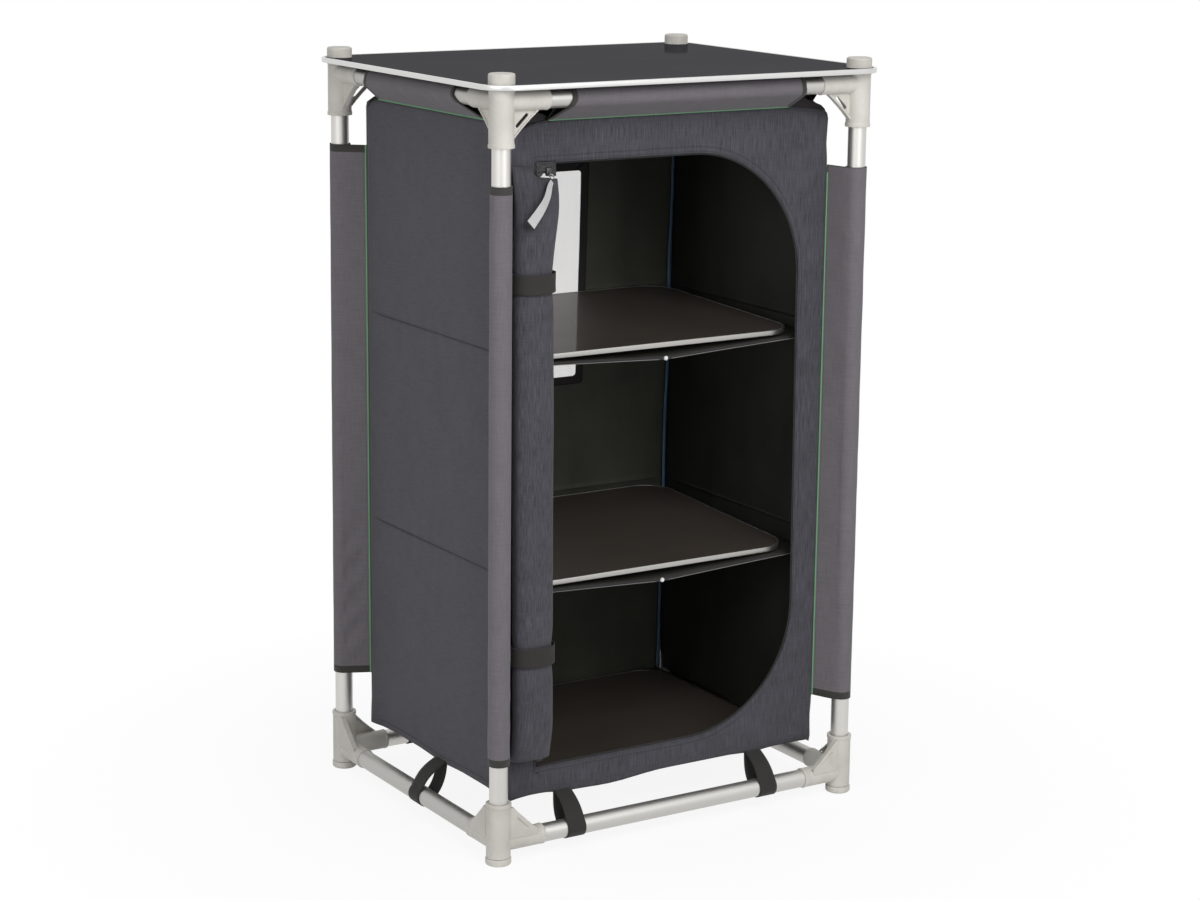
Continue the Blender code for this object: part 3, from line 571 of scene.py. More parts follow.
def gusset(flush):
    """The web under one arm, its rim and the cutter of its slot, with the arm along +X.

    A flush web lies at the side of the arm, and its slot is only a groove.
    """
    slot_width, slot_deep = (GROOVE_WIDTH, 2 * GROOVE_DEPTH) if flush else (SLOT_WIDTH, 0.02)
    low, high = Vector((WEB_ON_ARM, ARM_R - 0.001)), Vector((SOCKET_R - 0.001, WEB_ON_SOCKET))
    way = (high - low).normalized()
    inward = Vector((-way.y, way.x))
    half = (high - low).length / 2
    centre = (low + high) / 2
    web = extruded([(SOCKET_R - 0.005, 0.006), (WEB_ON_ARM, 0.006), low, high, (SOCKET_R - 0.005, high.y)],
                   WEB_THICKNESS, UPRIGHT)
    bow = 0.0012  # the rim is slightly hollow
    outer = [centre + way * half * s - inward * (bow * (s * s - 0.4)) for s in (-1, -0.5, 0, 0.5, 1)]
    rim = extruded([*outer, *[p + inward * RIM_THICKNESS for p in reversed(outer)]], RIM_WIDTH, UPRIGHT)
    slot_centre, tilt = centre + inward * SLOT_INSET, math.degrees(math.atan2(way.y, way.x))
    reach = way * (SLOT_LENGTH - slot_width) / 2
    ends = [*arc_points(slot_centre + reach, slot_width / 2, tilt - 90, tilt + 90, 8),
            *arc_points(slot_centre - reach, slot_width / 2, tilt + 90, tilt + 270, 8)]
    parts = web, rim, extruded(ends, slot_deep, UPRIGHT)
    if flush:
        for part, deep in zip(parts, (WEB_THICKNESS / 2, RIM_WIDTH / 2, 0.0)):
            part.transform(Matrix.Translation((0, -(ARM_R - deep), 0)))
    return parts


print("a socket clears its tube by", round(1000 * (BORE_R - TUBE_R), 1), "mm")

# %% Melting them into one moulding
VOXEL = 0.00052
CORNER_SHARE = 0.11  # of the voxel faces that are kept


def united(solids, cutters):
    """The solids as one mesh, less the cutters."""
    base, *others = [scratch(solid) for solid in solids]
    cuts = [scratch(cutter) for cutter in cutters]
    for operation, tools in (("UNION", others), ("DIFFERENCE", cuts)):
        for tool in tools:
            step = base.modifiers.new("fit", "BOOLEAN")
            step.operation, step.solver, step.object = operation, "EXACT", tool
    mesh = evaluated(base)
    for tool in others + cuts:
        bpy.data.objects.remove(tool, do_unlink=True)
    return mesh


def moulded(solids, cutters):
    """The parts as one soft-edged mesh."""
    made = scratch(united(solids, cutters))
    remesh = made.modifiers.new("voxels", "REMESH")
    remesh.mode, remesh.voxel_size, remesh.adaptivity = "VOXEL", VOXEL, 0.0
    soften = made.modifiers.new("soften", "SMOOTH")
    soften.factor, soften.iterations = 0.5, 4
    thin = made.modifiers.new("thin", "DECIMATE")
    thin.ratio = CORNER_SHARE
    return evaluated(made)


def corner_moulding(base, mouth, floor, extra, flush=False):
    """A corner whose arms run along +X and +Y at height 0, and whose socket opens upwards."""
    solids = [lathe([(0, base), (SOCKET_R, base), (SOCKET_R, mouth - COLLAR_HEIGHT),
                     (COLLAR_R, mouth - COLLAR_HEIGHT + 0.0006), (COLLAR_R, mouth), (0, mouth)])]
    cutters = [lathe([(0, floor), (BORE_R, floor), (BORE_R, mouth + 0.01), (0, mouth + 0.01)])]
    arm = [(0, 0), (ARM_R, 0), (ARM_R, ARM_REACH - 0.004), (ARM_R + ARM_RING, ARM_REACH - 0.0035),
           (ARM_R + ARM_RING, ARM_REACH - 0.0006), (ARM_R, ARM_REACH), (0, ARM_REACH)]
    other_arm = Matrix.Rotation(math.radians(90), 4, "Z") @ Matrix.Diagonal((1, -1, 1, 1))
    for turn in (Matrix(), other_arm):
        solids.append(lathe(arm, place=turn @ along((0, 0, 0), (1, 0, 0))))
        web, rim, slot = gusset(flush)
        for part in (web, rim, slot):
            part.transform(turn)
        solids += [web, rim]
        cutters.append(slot)
    for part in solids + cutters:
        bmesh.ops.recalc_face_normals(part, faces=part.faces)
    return moulded(solids + extra, cutters)


print("voxels of", round(1000 * VOXEL, 2), "mm")

# %% Eight corners from two mouldings
low_box, top_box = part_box("bottom_corner_br"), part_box("top_corner_br")
LOW_SOCKET = (low_box[0].z, low_box[1].z)
TOP_MOUTH, CAP_TOP = top_box[0].z, top_box[1].z
SHOULDER = 1.0289  # the top socket's flat end, which the tabletop rests on
TOP_FLOOR = 1.021  # the end of the top socket's bore

foot_end, post_end = LOW_SOCKET[0] - LOW_RAIL_Z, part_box("post_br")[0].z - LOW_RAIL_Z
low_master = corner_moulding(foot_end, LOW_SOCKET[1] - LOW_RAIL_Z, post_end, [], flush=True)
shoulder, tip = TOP_RAIL_Z - SHOULDER, TOP_RAIL_Z - CAP_TOP
cap = lathe([(0, shoulder + 0.002), (CAP_R, shoulder + 0.002),
             *[(r, h) for r, h in arc_points((CAP_R - CAP_ROUND, tip + CAP_ROUND), CAP_ROUND, 0, -90, 6)],
             (0, tip)])
top_master = corner_moulding(shoulder, TOP_RAIL_Z - TOP_MOUTH, TOP_RAIL_Z - TOP_FLOOR, [cap])


def place_corners(level, master, up, height, body):
    for corner, (side, depth) in CORNERS.items():
        mesh = master.copy()
        mesh.transform(Matrix.Diagonal((-side, -depth, up, 1.0)))
        if side * depth * up < 0:
            mesh.flip_normals()
        mesh.transform(Matrix.Translation((side * POST.x, depth * POST.y, height)))
        name = f"{level}_corner_{corner}"
        piece(f"{name}_moulding", mesh, [PLASTIC], body, [name], sharp=60)


place_corners("bottom", low_master, 1, LOW_RAIL_Z, "base_frame")
place_corners("top", top_master, -1, TOP_RAIL_Z, "top_frame")
print("corner", len(low_master.polygons), "and", len(top_master.polygons), "faces")

# %% [markdown]
# The feet are turned plugs with a soft lower edge. The sole has two shallow rings, which keep it
# from sliding on a groundsheet.

# %% Feet
FOOT_R, FOOT_TOP, FOOT_ROUND = size("foot_br").x / 2, 0.0095, 0.0030


def foot(corner, side, depth):
    sole = [(0, 0.0003), (0.006, 0.0003), (0.0065, 0), (0.0095, 0), (0.010, 0.0004), (0.0125, 0.0004),
            (0.013, 0), (FOOT_R - FOOT_ROUND, 0)]
    side_edge = arc_points((FOOT_R - FOOT_ROUND, FOOT_ROUND), FOOT_ROUND, -90, 0, 6)
    top = [(FOOT_R, FOOT_TOP - 0.0012), (FOOT_R - 0.0004, FOOT_TOP - 0.0004), (FOOT_R - 0.0012, FOOT_TOP),
           (0.0078, FOOT_TOP), (0.0078, 0.0178), (0, 0.0178)]
    bm = lathe(sole + side_edge + top)
    bm.transform(Matrix.Translation((side * POST.x, depth * POST.y, 0)))
    return piece(f"foot_{corner}_plug", bm, [PLASTIC], "base_frame", [f"foot_{corner}"])


for corner, (side, depth) in CORNERS.items():
    foot(corner, side, depth)
print("4 feet")

# %% [markdown]
# The tabletop and the shelves are alike: a board in a bright metal edge. One square face is the
# start of both. Its corners are rounded by a vertex bevel, an inset splits off the edge strip, and
# each part is extruded to its thickness and its long edges are softened.

# %% Boards in a metal edge
BOARD_EDGE_ROUND = 0.0011
SINK = 0.0005  # how far the board lies below its metal edge


def rounded_face(half_x, half_y, radius):
    bm = bmesh.new()
    bmesh.ops.create_grid(bm, x_segments=1, y_segments=1, size=1.0)
    bm.transform(Matrix.Diagonal((half_x, half_y, 1, 1)))
    bmesh.ops.bevel(bm, geom=bm.verts[:], offset=radius, offset_type="OFFSET", segments=14,
                    profile=0.5, affect="VERTICES", material=-1)
    return bm


def thickened(bm, thickness, edge_round, segments=3):
    """Extrudes all faces to a slab round Z = 0 and rounds its long edges."""
    raised = bmesh.ops.extrude_face_region(bm, geom=bm.faces[:], use_keep_orig=True)
    top = [v for v in raised["geom"] if isinstance(v, bmesh.types.BMVert)]
    bmesh.ops.translate(bm, verts=top, vec=(0, 0, thickness))
    bmesh.ops.translate(bm, verts=bm.verts[:], vec=(0, 0, -thickness / 2))
    bmesh.ops.recalc_face_normals(bm, faces=bm.faces)
    rims = [e for e in bm.edges if len(e.link_faces) == 2 and e.calc_face_angle() > math.radians(70)]
    bmesh.ops.bevel(bm, geom=rims, offset=edge_round, offset_type="OFFSET", segments=segments,
                    profile=0.5, affect="EDGES", material=-1)
    return bm


def metal_edge(half_x, half_y, radius, width, thickness):
    bm = rounded_face(half_x, half_y, radius)
    bmesh.ops.inset_region(bm, faces=bm.faces[:], thickness=width, use_even_offset=True, use_boundary=True)
    inner = max(bm.faces, key=lambda face: len(face.verts))
    bmesh.ops.delete(bm, geom=[inner], context="FACES")
    return thickened(bm, thickness, BOARD_EDGE_ROUND)


def edged_board(name, half_x, half_y, radius, width, thickness, place, finishes, body, slot):
    edge = metal_edge(half_x, half_y, radius, width, thickness)
    edge.transform(place)
    piece(f"{name}_metal_edge", edge, finishes[:1], body, [f"{name}_edge"], sharp=35)
    inset = width + 0.0002
    board = thickened(rounded_face(half_x - inset, half_y - inset, radius - inset),
                      thickness - 2 * SINK, 0.0003, 1)
    board.transform(place)
    return piece(f"{name}_board", board, finishes[1:], body, [f"{name}_panel"], sharp=35)


print("board tools ready")

# %% The tabletop
TABLE_R, TABLE_EDGE_WIDTH, HOLE_R = 0.042, 0.0045, 0.0184
DRILL_Z = (1.0, 1.1)  # from below the tabletop to above it
table_low, table_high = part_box("tabletop_edge")


def tabletop():
    place = Matrix.Translation((0, 0, (table_low.z + table_high.z) / 2))
    made = edged_board("tabletop", table_high.x, table_high.y, TABLE_R, TABLE_EDGE_WIDTH,
                       table_high.z - table_low.z, place, [EDGE_ALUMINIUM, TABLE_LAMINATE], "tabletop",
                       "tabletop_board")
    for side, depth in CORNERS.values():
        rod = [(0, DRILL_Z[0]), (HOLE_R, DRILL_Z[0]), (HOLE_R, DRILL_Z[1]), (0, DRILL_Z[1])]
        drill = scratch(lathe(rod))
        drill.location = (side * POST.x, depth * POST.y, 0)
        hole = made.modifiers.new("hole", "BOOLEAN")
        hole.operation, hole.solver, hole.object = "DIFFERENCE", "EXACT", drill
    return made


def keep_shape(made):
    """Applies a piece's modifiers and removes the scratch objects that they used."""
    mesh = final_mesh(made)
    spent = [m.object for m in made.modifiers if getattr(m, "object", None)]
    made.modifiers.clear()
    made.data = mesh
    for tool in spent:
        bpy.data.objects.remove(tool, do_unlink=True)
    return made


table = keep_shape(tabletop())
print("tabletop", len(table.data.polygons), "faces")

# %% The shelf boards
SHELF_R, SHELF_EDGE_WIDTH, SHELF_THICKNESS = 0.045, 0.0026, 0.0075
SHELF_HALF = (0.231, 0.174)
MOUNTS = {mount["name"]: mount for mount in frame["record"]["mounts"]}


def shelf(name, edge):
    """A board that lies as the frame's mount on it says: the mount's axis is the board's tilt."""
    mount = MOUNTS[f"shelf_{name}_surface"]
    up = Vector(mount["axis"])
    tilt = Vector((0, 0, 1)).rotation_difference(up).to_matrix().to_4x4()
    centre = Vector(mount["pos_m"]) + up * (SINK - SHELF_THICKNESS / 2)
    place = Matrix.Translation(centre) @ tilt
    return edged_board(f"shelf_{name}", *SHELF_HALF, SHELF_R, SHELF_EDGE_WIDTH, SHELF_THICKNESS, place,
                       [edge, SHELF_LAMINATE], f"shelf_{name}", "shelf_board")


# The base board's edge takes the darkest copy, as painted shade.
for name, edge in (("upper", SHELF_EDGE_PAINTED_SHADE), ("middle", SHELF_EDGE_PAINTED_SHADE), ("base", BASE_EDGE_PAINTED_SHADE)):
    shelf(name, edge)
print("3 shelf boards")

# %% [markdown]
# The cloth body hangs inside the posts. Its walls lean by a few millimetres: wider at the top across
# the front, and deeper at the bottom. Each sheet starts as a flat grid, and a function says where
# each point of the flat cloth lies now, so its UV map keeps the flat cloth in metres. Solidify then
# gives it its thickness, with the coated side inside.

# %% The body's sizes
BODY_Z = (0.071, 0.9826)
HALF_WIDTH, HALF_DEPTH = (0.251, 0.260), (0.1963, 0.187)  # at the hem and at the top seam
FABRIC = 0.0011
HEM_ARCH = 0.004
TOP_CORNER_R = 0.012
FRONT_LOOPS, SIDE_LOOPS = (-0.166, 0.150), (-0.012,)


def even(span, z):
    """A size that changes evenly over the body's height."""
    return span[0] + (span[1] - span[0]) * (z - BODY_Z[0]) / (BODY_Z[1] - BODY_Z[0])


def half_width(z):
    return even(HALF_WIDTH, z)


def half_depth(z):
    return even(HALF_DEPTH, z)


print("the body is", round(2000 * HALF_WIDTH[1]), "mm wide at its top seam")

# %% Cloth from flat grids
def smooth(low, high, value):
    """0 below low, 1 above high, and a soft step in between."""
    share = min(1.0, max(0.0, (value - low) / (high - low)))
    return share * share * (3 - 2 * share)


def dent(value, place, width):
    """1 at a place, which fades over a width."""
    return math.exp(-((value - place) / width) ** 2)


def waver(u, v, size, seed):
    """A soft random wave from -1 to 1 over a few times size."""
    return noise.noise(Vector((u / size, v / size, seed)))


def grid_lines(low, high, step, seams=(), near=(0.0008, 0.0018, 0.0034)):
    """Evenly spaced lines, with close ones on both sides of each seam."""
    count = max(1, round((high - low) / step))
    lines = [low + (high - low) * i / count for i in range(count + 1)]
    for seam in seams:
        lines = [x for x in lines if abs(x - seam) > near[-1] + step / 3 or x in (low, high)]
        lines += [seam, *[seam + side * n for n in near for side in (-1, 1)]]
    return sorted({round(x, 6) for x in lines if low <= x <= high})


def cloth(us, vs, place):
    """A sheet whose flat grid lines are us and vs, in metres. place(u, v) is where a point lies."""
    bm = bmesh.new()
    bmesh.ops.create_grid(bm, x_segments=len(us) - 1, y_segments=len(vs) - 1, size=0.5)
    for vert in bm.verts:
        share = vert.co.xy + Vector((0.5, 0.5))
        vert.co = (us[round(share.x * (len(us) - 1))], vs[round(share.y * (len(vs) - 1))], 0)
    flat = bm.loops.layers.uv.new("flat")
    for face in bm.faces:
        for loop in face.loops:
            loop[flat].uv = loop.vert.co.xy
    for vert in bm.verts:
        vert.co = place(*vert.co.xy)
    return bm


def marked(bm, index, test):
    """Gives another material index to the faces whose middle on the flat cloth passes a test."""
    flat = bm.loops.layers.uv.active
    for face in bm.faces:
        u, v = sum((loop[flat].uv for loop in face.loops), Vector((0, 0))) / len(face.loops)
        if test(u, v):
            face.material_index = index
    return bm


def path_lengths(path):
    runs = [0.0]
    for a, b in zip(path, path[1:]):
        runs.append(runs[-1] + (b - a).length)
    return runs


def thick(made, amount, offset=-1.0, inside=0, rim=0):
    """Live thickness for a sheet. inside and rim are steps from the outer finish's slot."""
    step = made.modifiers.new("thickness", "SOLIDIFY")
    step.thickness, step.offset = amount, offset
    step.material_offset, step.material_offset_rim = inside, rim
    return made


print("cloth tools ready")

# %% Side and back walls
SEAM_HEIGHTS = (0.6800, 0.3810)
WALL_STEP = 0.0065
FLAT_HALF = 0.25  # half the width of a wall's flat grid


def hem_height(u, half, straps):
    """The lower edge is drawn down at the ends and at each strap, and arched in between."""
    stops = [-half, *straps, half]
    for left, right in zip(stops, stops[1:]):
        if u <= right:
            return BODY_Z[0] + HEM_ARCH * math.sin(math.pi * max(0.0, (u - left) / (right - left)))
    return BODY_Z[0]


def wall_point(u, z, half_at, straps, bulge, drop=0.0):
    """u from -1 to 1 across a wall, and z up it: the place along the wall, its height and its bulge."""
    low = hem_height(u * half_at(BODY_Z[0]), half_at(BODY_Z[0]), straps)
    height = z + (low - BODY_Z[0]) * (1 - smooth(BODY_Z[0], BODY_Z[0] + 0.06, z))
    corner = max(0.0, height - (BODY_Z[1] - TOP_CORNER_R))
    inward = TOP_CORNER_R - math.sqrt(max(0.0, TOP_CORNER_R ** 2 - corner ** 2))
    along = u * (half_at(height) - inward)
    height -= drop * smooth(0.145, 0.186, abs(along)) * smooth(0.90, BODY_Z[1], height)
    calm = smooth(0, 0.05, half_at(height) - abs(along)) * smooth(0, 0.04, height - BODY_Z[0])
    calm *= smooth(0, 0.04, BODY_Z[1] - height)
    return along, height, bulge(along, height) * calm


def wall_bulge(seed):
    """Soft waves, puckered beside the seams and drawn in along them."""
    def bulge(u, z):
        crease = sum(dent(z, seam, 0.0009) for seam in SEAM_HEIGHTS)
        near = max(dent(z, seam, 0.030) for seam in SEAM_HEIGHTS)
        soft = waver(u, z, 0.16, seed) + 0.35 * waver(u, 2.2 * z, 0.07, seed + 3)
        soft += 0.5 * near * waver(u, z * 0.3, 0.020, seed + 5)
        return 0.0012 * soft - 0.0018 * crease
    return bulge


def wall(name, sign, seed):
    """A side wall: u runs along Y."""
    us = grid_lines(-FLAT_HALF, FLAT_HALF, WALL_STEP)
    vs = grid_lines(*BODY_Z, WALL_STEP, SEAM_HEIGHTS)
    bulge = wall_bulge(seed)

    def inner_depth(z):
        return half_depth(z) - FABRIC - 0.0004

    def place(u, z):
        along, height, out = wall_point(u / FLAT_HALF, z, inner_depth, SIDE_LOOPS, bulge, 0.008)
        out += 0.0030 * dent(along, 0.19, 0.02) * dent(height, BODY_Z[0], 0.05)
        out -= 0.0030 * smooth(0.11, 0.185, -along) * dent(height, 0.943, 0.020)
        return Vector((sign * (half_width(height) - 0.0009 + out), along, height))

    bm = cloth(us, vs, place)
    if sign < 0:
        bmesh.ops.reverse_faces(bm, faces=bm.faces)
    made = piece(f"wall_{name}_cloth", bm, [SIDE_CLOTH, INNER_CLOTH],
                 "top_frame", [f"wall_{name}"])
    return thick(made, FABRIC, inside=1, rim=1)


wall("left", -1, 5.0)
wall("right", 1, 11.0)

# %% The back wall
WINDOW_HALF, WINDOW_Z, WINDOW_ROUND = 0.090, (0.5515, 0.8625), 0.006
WINDOW_FAN, CUT_HALF = 0.19, 0.0945  # the window widens upwards, and the cut in the wall is wider


def back_wall():
    bulge = wall_bulge(23.0)

    def place(u, z):
        along, height, out = wall_point(u / FLAT_HALF, z, half_width, FRONT_LOOPS, bulge)
        return Vector((along, half_depth(height) - 0.0002 + out, height))

    cut = CUT_HALF / half_width(0.70) * FLAT_HALF
    us = grid_lines(-FLAT_HALF, FLAT_HALF, WALL_STEP, (-cut, cut), (0.0015,))
    vs = grid_lines(*BODY_Z, WALL_STEP, (*SEAM_HEIGHTS, *WINDOW_Z), (0.0009, 0.0022))
    bm = cloth(us, vs, place)
    inside = [f for f in bm.faces if abs(f.calc_center_median().x) < CUT_HALF - 0.0005
              and WINDOW_Z[0] < f.calc_center_median().z < WINDOW_Z[1]]
    bmesh.ops.delete(bm, geom=inside, context="FACES")
    bmesh.ops.reverse_faces(bm, faces=bm.faces)
    made = piece("wall_back_cloth", bm, [SIDE_CLOTH, INNER_BACK_PAINTED_LIGHT], "top_frame", ["wall_back"])
    return thick(made, FABRIC, inside=1, rim=1)


back_wall()
print("3 walls")

# %% The window's net and tape
NET_HALF, NET_Z = 0.097, (0.549, 0.865)
TAPE_IN, TAPE_OUT, TAPE_WIDE = 0.0022, 0.0100, 0.0122  # inwards and outwards from the window's edge


def net_sheet():
    def place(u, v):
        return Vector((u, half_depth(v) - 0.0016, v))

    bm = cloth(grid_lines(-NET_HALF, NET_HALF, 0.02), grid_lines(*NET_Z, 0.02), place)
    made = piece("window_net", bm, [NETTING], "top_frame", ["window_netting"])
    return thick(made, 0.0003, 0.0)


def rounded_path(half, heights):
    """A closed upright rectangle with the window's round corners, as points X, Z."""
    (low, high), path = heights, []
    for x, z, start in ((half, high, 90), (half, low, 0), (-half, low, -90), (-half, high, -180)):
        centre_z = high - WINDOW_ROUND if z == high else low + WINDOW_ROUND
        centre = (x - math.copysign(WINDOW_ROUND, x), centre_z)
        path += [Vector(p) for p in arc_points(centre, WINDOW_ROUND, start, start - 90, 6)]
    path.append(path[0])
    line = [path[0]]
    for a, b in zip(path, path[1:]):
        count = 20 if (b - a).length > 0.05 else 1
        line += [a.lerp(b, i / count) for i in range(1, count + 1)]
    return line


def nearest(values, target):
    """The index of the value that is nearest to a target."""
    return min(range(len(values)), key=lambda k: abs(values[k] - target))


def window_tape():
    """The tape that binds the net to the wall's inner side, and rounds the window's corners."""
    low, high = WINDOW_Z
    inner = rounded_path(WINDOW_HALF - TAPE_IN, (low + TAPE_IN, high - TAPE_IN))
    outer = rounded_path(WINDOW_HALF + TAPE_OUT, (low - TAPE_OUT, high + TAPE_OUT))
    runs = [round(r, 6) for r in path_lengths(outer)]

    def place(u, v):
        k = nearest(runs, u)
        at = inner[k].lerp(outer[k], v / TAPE_WIDE)
        at.x *= 1 + WINDOW_FAN * (at.y - WINDOW_Z[0])
        return Vector((at.x, half_depth(at.y) - 0.0026 - 0.0002 * waver(u, v, 0.02, 29.0), at.y))

    bm = cloth(runs, [0, 0.002, 0.006, 0.0102, TAPE_WIDE], place)
    bmesh.ops.remove_doubles(bm, verts=bm.verts, dist=1e-6)
    bmesh.ops.recalc_face_normals(bm, faces=bm.faces)
    made = piece("window_tape", bm, [TAB_CLOTH], "top_frame")
    return thick(made, 0.0006, offset=0.0)


net_sheet()
window_tape()
print("window")

# %% [markdown]
# The front panel is one cloth with a door opening: square corners at the left, where the door stays
# joined, and wide round ones at the right, which the zip can follow. The panel is built on rays that
# leave the middle of the door. Each ray meets the opening's edge and the panel's own edge, and the
# rings between them are spaced so that they run close along the opening.

# %% The front panel's edges
DOOR_X, DOOR_Z, DOOR_R = (-0.2068, 0.2135), (0.112, 0.928), 0.175
DOOR_MIDDLE = Vector((0.003, 0.520))
ARC_STEPS = 26  # in each of the opening's round corners
STITCH_ROWS = (0.0022, 0.0085)  # from the opening's edge
RING_GAPS = (0.0, 0.0006, 0.0014, 0.0022, 0.0030, 0.0048, 0.0066, 0.0077, 0.0085, 0.0093, 0.0112)


def door_outline(offset=0.0):
    """The opening's edge, from its upper left corner clockwise to the lower left, moved outwards."""
    radius = DOOR_R + offset
    x, low, high = DOOR_X[1] - DOOR_R, DOOR_Z[0] + DOOR_R, DOOR_Z[1] - DOOR_R
    upper = arc_points((x, high), radius, 90, 0, ARC_STEPS)
    lower = arc_points((x, low), radius, 0, -90, ARC_STEPS)
    left = DOOR_X[0] - offset
    return [Vector(p) for p in ((left, DOOR_Z[1] + offset), *upper, *lower, (left, DOOR_Z[0] - offset))]


def top_drop(x, z):
    """How far the panel's top edge hangs down beside its seam, more at the left than at the right."""
    return (0.0145 if x < 0 else 0.0060) * smooth(0.192, 0.258, abs(x)) * smooth(0.90, BODY_Z[1], z)


def front_hem(x):
    """The panel's lower edge, which sags beside the left loop and is lifted before the right one."""
    sag, lift = 0.0050 * dent(x, -0.085, 0.055), 0.0020 * dent(x, 0.11, 0.04)
    return hem_height(x, HALF_WIDTH[0], FRONT_LOOPS) - sag + lift


def panel_outline():
    """The panel's own edge, clockwise from its upper right corner, with its corners pulled out of line."""
    step = 0.02
    rows = grid_lines(BODY_Z[0], BODY_Z[1] - TOP_CORNER_R, step)
    centre = (half_width(BODY_Z[1]) - TOP_CORNER_R, BODY_Z[1] - TOP_CORNER_R)
    corner = arc_points(centre, TOP_CORNER_R, 90, 0, 8)
    right = [Vector(p) for p in corner] + [Vector((half_width(z), z)) for z in reversed(rows[:-1])]
    hem_x = grid_lines(-HALF_WIDTH[0], HALF_WIDTH[0], step)
    hem = [Vector((x, front_hem(x))) for x in reversed(hem_x)]
    left = [Vector((-p.x, p.y)) for p in reversed(right)]
    top = [Vector((x, BODY_Z[1])) for x in grid_lines(left[-1].x, right[0].x, 0.01)[1:-1]]
    outline = right + hem + left + top
    for p in outline:
        tug = 0.0030 * dent(p.y, 0.943, 0.020) + 0.0020 * dent(p.y, 0.105, 0.02) if p.x > 0.2 else 0.0
        p.y += 0.0030 * smooth(0.215, 0.251, p.x) * dent(p.y, BODY_Z[0], 0.01) - top_drop(*p)
        p.x -= tug
    return outline


print("the panel's edge has", len(panel_outline()), "points")

# %% The front panel
def ray_hit(outline, way):
    """Where the ray from the door's middle along a way leaves a closed outline."""
    for a, b in zip(outline, outline[1:] + outline[:1]):
        edge = b - a
        spread = way.cross(edge)
        if abs(spread) < 1e-12:
            continue
        reach = (a - DOOR_MIDDLE).cross(edge) / spread
        share = (a - DOOR_MIDDLE).cross(way) / spread
        if reach > 0 and -1e-9 <= share <= 1 + 1e-9:
            return DOOR_MIDDLE + way * reach
    raise ValueError("a ray misses the outline")


def panel_rays():
    """The ends of the rays, on the opening's edge and on the panel's own edge."""
    foot_corners = [Vector((side * HALF_WIDTH[0], BODY_Z[0])) for side in (-1, 1)]
    corners = [door_outline()[0], door_outline()[-1], *foot_corners]
    angles = [math.atan2(*(c - DOOR_MIDDLE).yx) for c in corners]
    angles += [a for a in [math.radians(0.6 * i - 180) for i in range(600)]
               if all(abs(a - c) > 0.004 for c in angles)]
    inner, outer = door_outline(), panel_outline()
    rays = []
    for angle in sorted(angles):
        way = Vector((math.cos(angle), math.sin(angle)))
        rays.append((ray_hit(inner, way), ray_hit(outer, way)))
    return rays


def panel_bulge(x, z):
    """Soft waves that calm down at the outer edges, and the pulled cloth at the lower left corner."""
    calm = smooth(0, 0.03, half_width(z) - abs(x)) * smooth(0, 0.03, z - BODY_Z[0])
    calm *= smooth(0, 0.03, BODY_Z[1] - z)
    soft = 0.0009 * waver(x, z, 0.05, 31.0) + 0.0007 * waver(x, z, 0.14, 37.0)
    slant = 0.7 * (x + 0.235) - (z - 0.092)
    pulled = math.sin(slant * 330) * dent(x, -0.232, 0.018) * dent(z, 0.094, 0.016)
    slit = dent(x, -0.2045, 0.0013) * smooth(0.088, 0.098, z) * (1 - smooth(0.118, 0.122, z))
    return calm * soft + 0.0013 * pulled - 0.0020 * slit


def front_panel():
    rays = panel_rays()
    even_rings = 9
    rings = len(RING_GAPS) + even_rings

    def place(u, v):
        start, end = rays[round(u) % len(rays)]
        length, ring = (end - start).length, round(v)
        last = min(RING_GAPS[-1], length * 0.5)
        if ring < len(RING_GAPS):
            out = RING_GAPS[ring]
        else:
            out = last + (length - last) * (ring - len(RING_GAPS) + 1) / even_rings
        at = start + (end - start).normalized() * min(out, length)
        edge = 0.0006 * (1 - smooth(0.0, 0.0014, out))
        sewn = max(dent(out, row, 0.0006) for row in STITCH_ROWS)
        pucker = 0.00025 * waver(at.x, at.y, 0.0045, 43.0) * dent(out, 0.0054, 0.0060)
        edge += 0.0008 * sewn + pucker
        return Vector((at.x, -half_depth(at.y) + edge - panel_bulge(at.x, at.y), at.y))

    bm = cloth(list(range(len(rays) + 1)), list(range(rings)), place)
    bmesh.ops.remove_doubles(bm, verts=bm.verts, dist=1e-6)
    flat = bm.loops.layers.uv.active
    for face in bm.faces:
        for loop in face.loops:
            loop[flat].uv = loop.vert.co.xz
    bmesh.ops.recalc_face_normals(bm, faces=bm.faces)
    if sum(f.normal.y * f.calc_area() for f in bm.faces) > 0:
        bmesh.ops.reverse_faces(bm, faces=bm.faces)
    made = piece("front_panel_cloth", bm, [BODY_CLOTH, INNER_CLOTH], "top_frame", ["front_panel"])
    return thick(made, FABRIC, inside=1, rim=1)


front_panel()
print("front panel")

# %% [markdown]
# The door is one cloth of 420 by 816 mm. It is rolled up from its free edge with its outer side
# out, laid against the panel's left strip and bound by two straps. So the piece is a real spiral of
# three and a half turns: the cloth leaves the opening's left edge, goes behind the roll, round its
# left side and over its front, and on inwards. The inner turns are shorter, because the door's free
# corners are round. Two straps pinch it, its ends are flatter than its middle, and its top fans out
# towards the zip's end.

# %% The rolled door's shape
ROLL_X, ROLL_Z = -0.2250, (0.133, 0.911)
ROLL_WIDE, ROLL_DEEP, ROLL_CLEAR, ROLL_FULL = 0.0320, 0.0175, 0.005, 0.8
STRAP_HEIGHTS = {"upper": 0.777, "lower": 0.279}
TURN_GAP = 0.0040  # between one turn and the next
SPIRAL_START, SPIRAL_STEP = math.radians(62), math.radians(3)
DOOR_WIDE = DOOR_X[1] - DOOR_X[0]


def flare(z):
    """The roll's top fans out towards the zip's end."""
    return smooth(0.80, 0.91, z)


def pinched(z):
    """1 under a strap, which fades to 0 above and below it."""
    return sum(dent(z, strap, 0.022) for strap in STRAP_HEIGHTS.values())


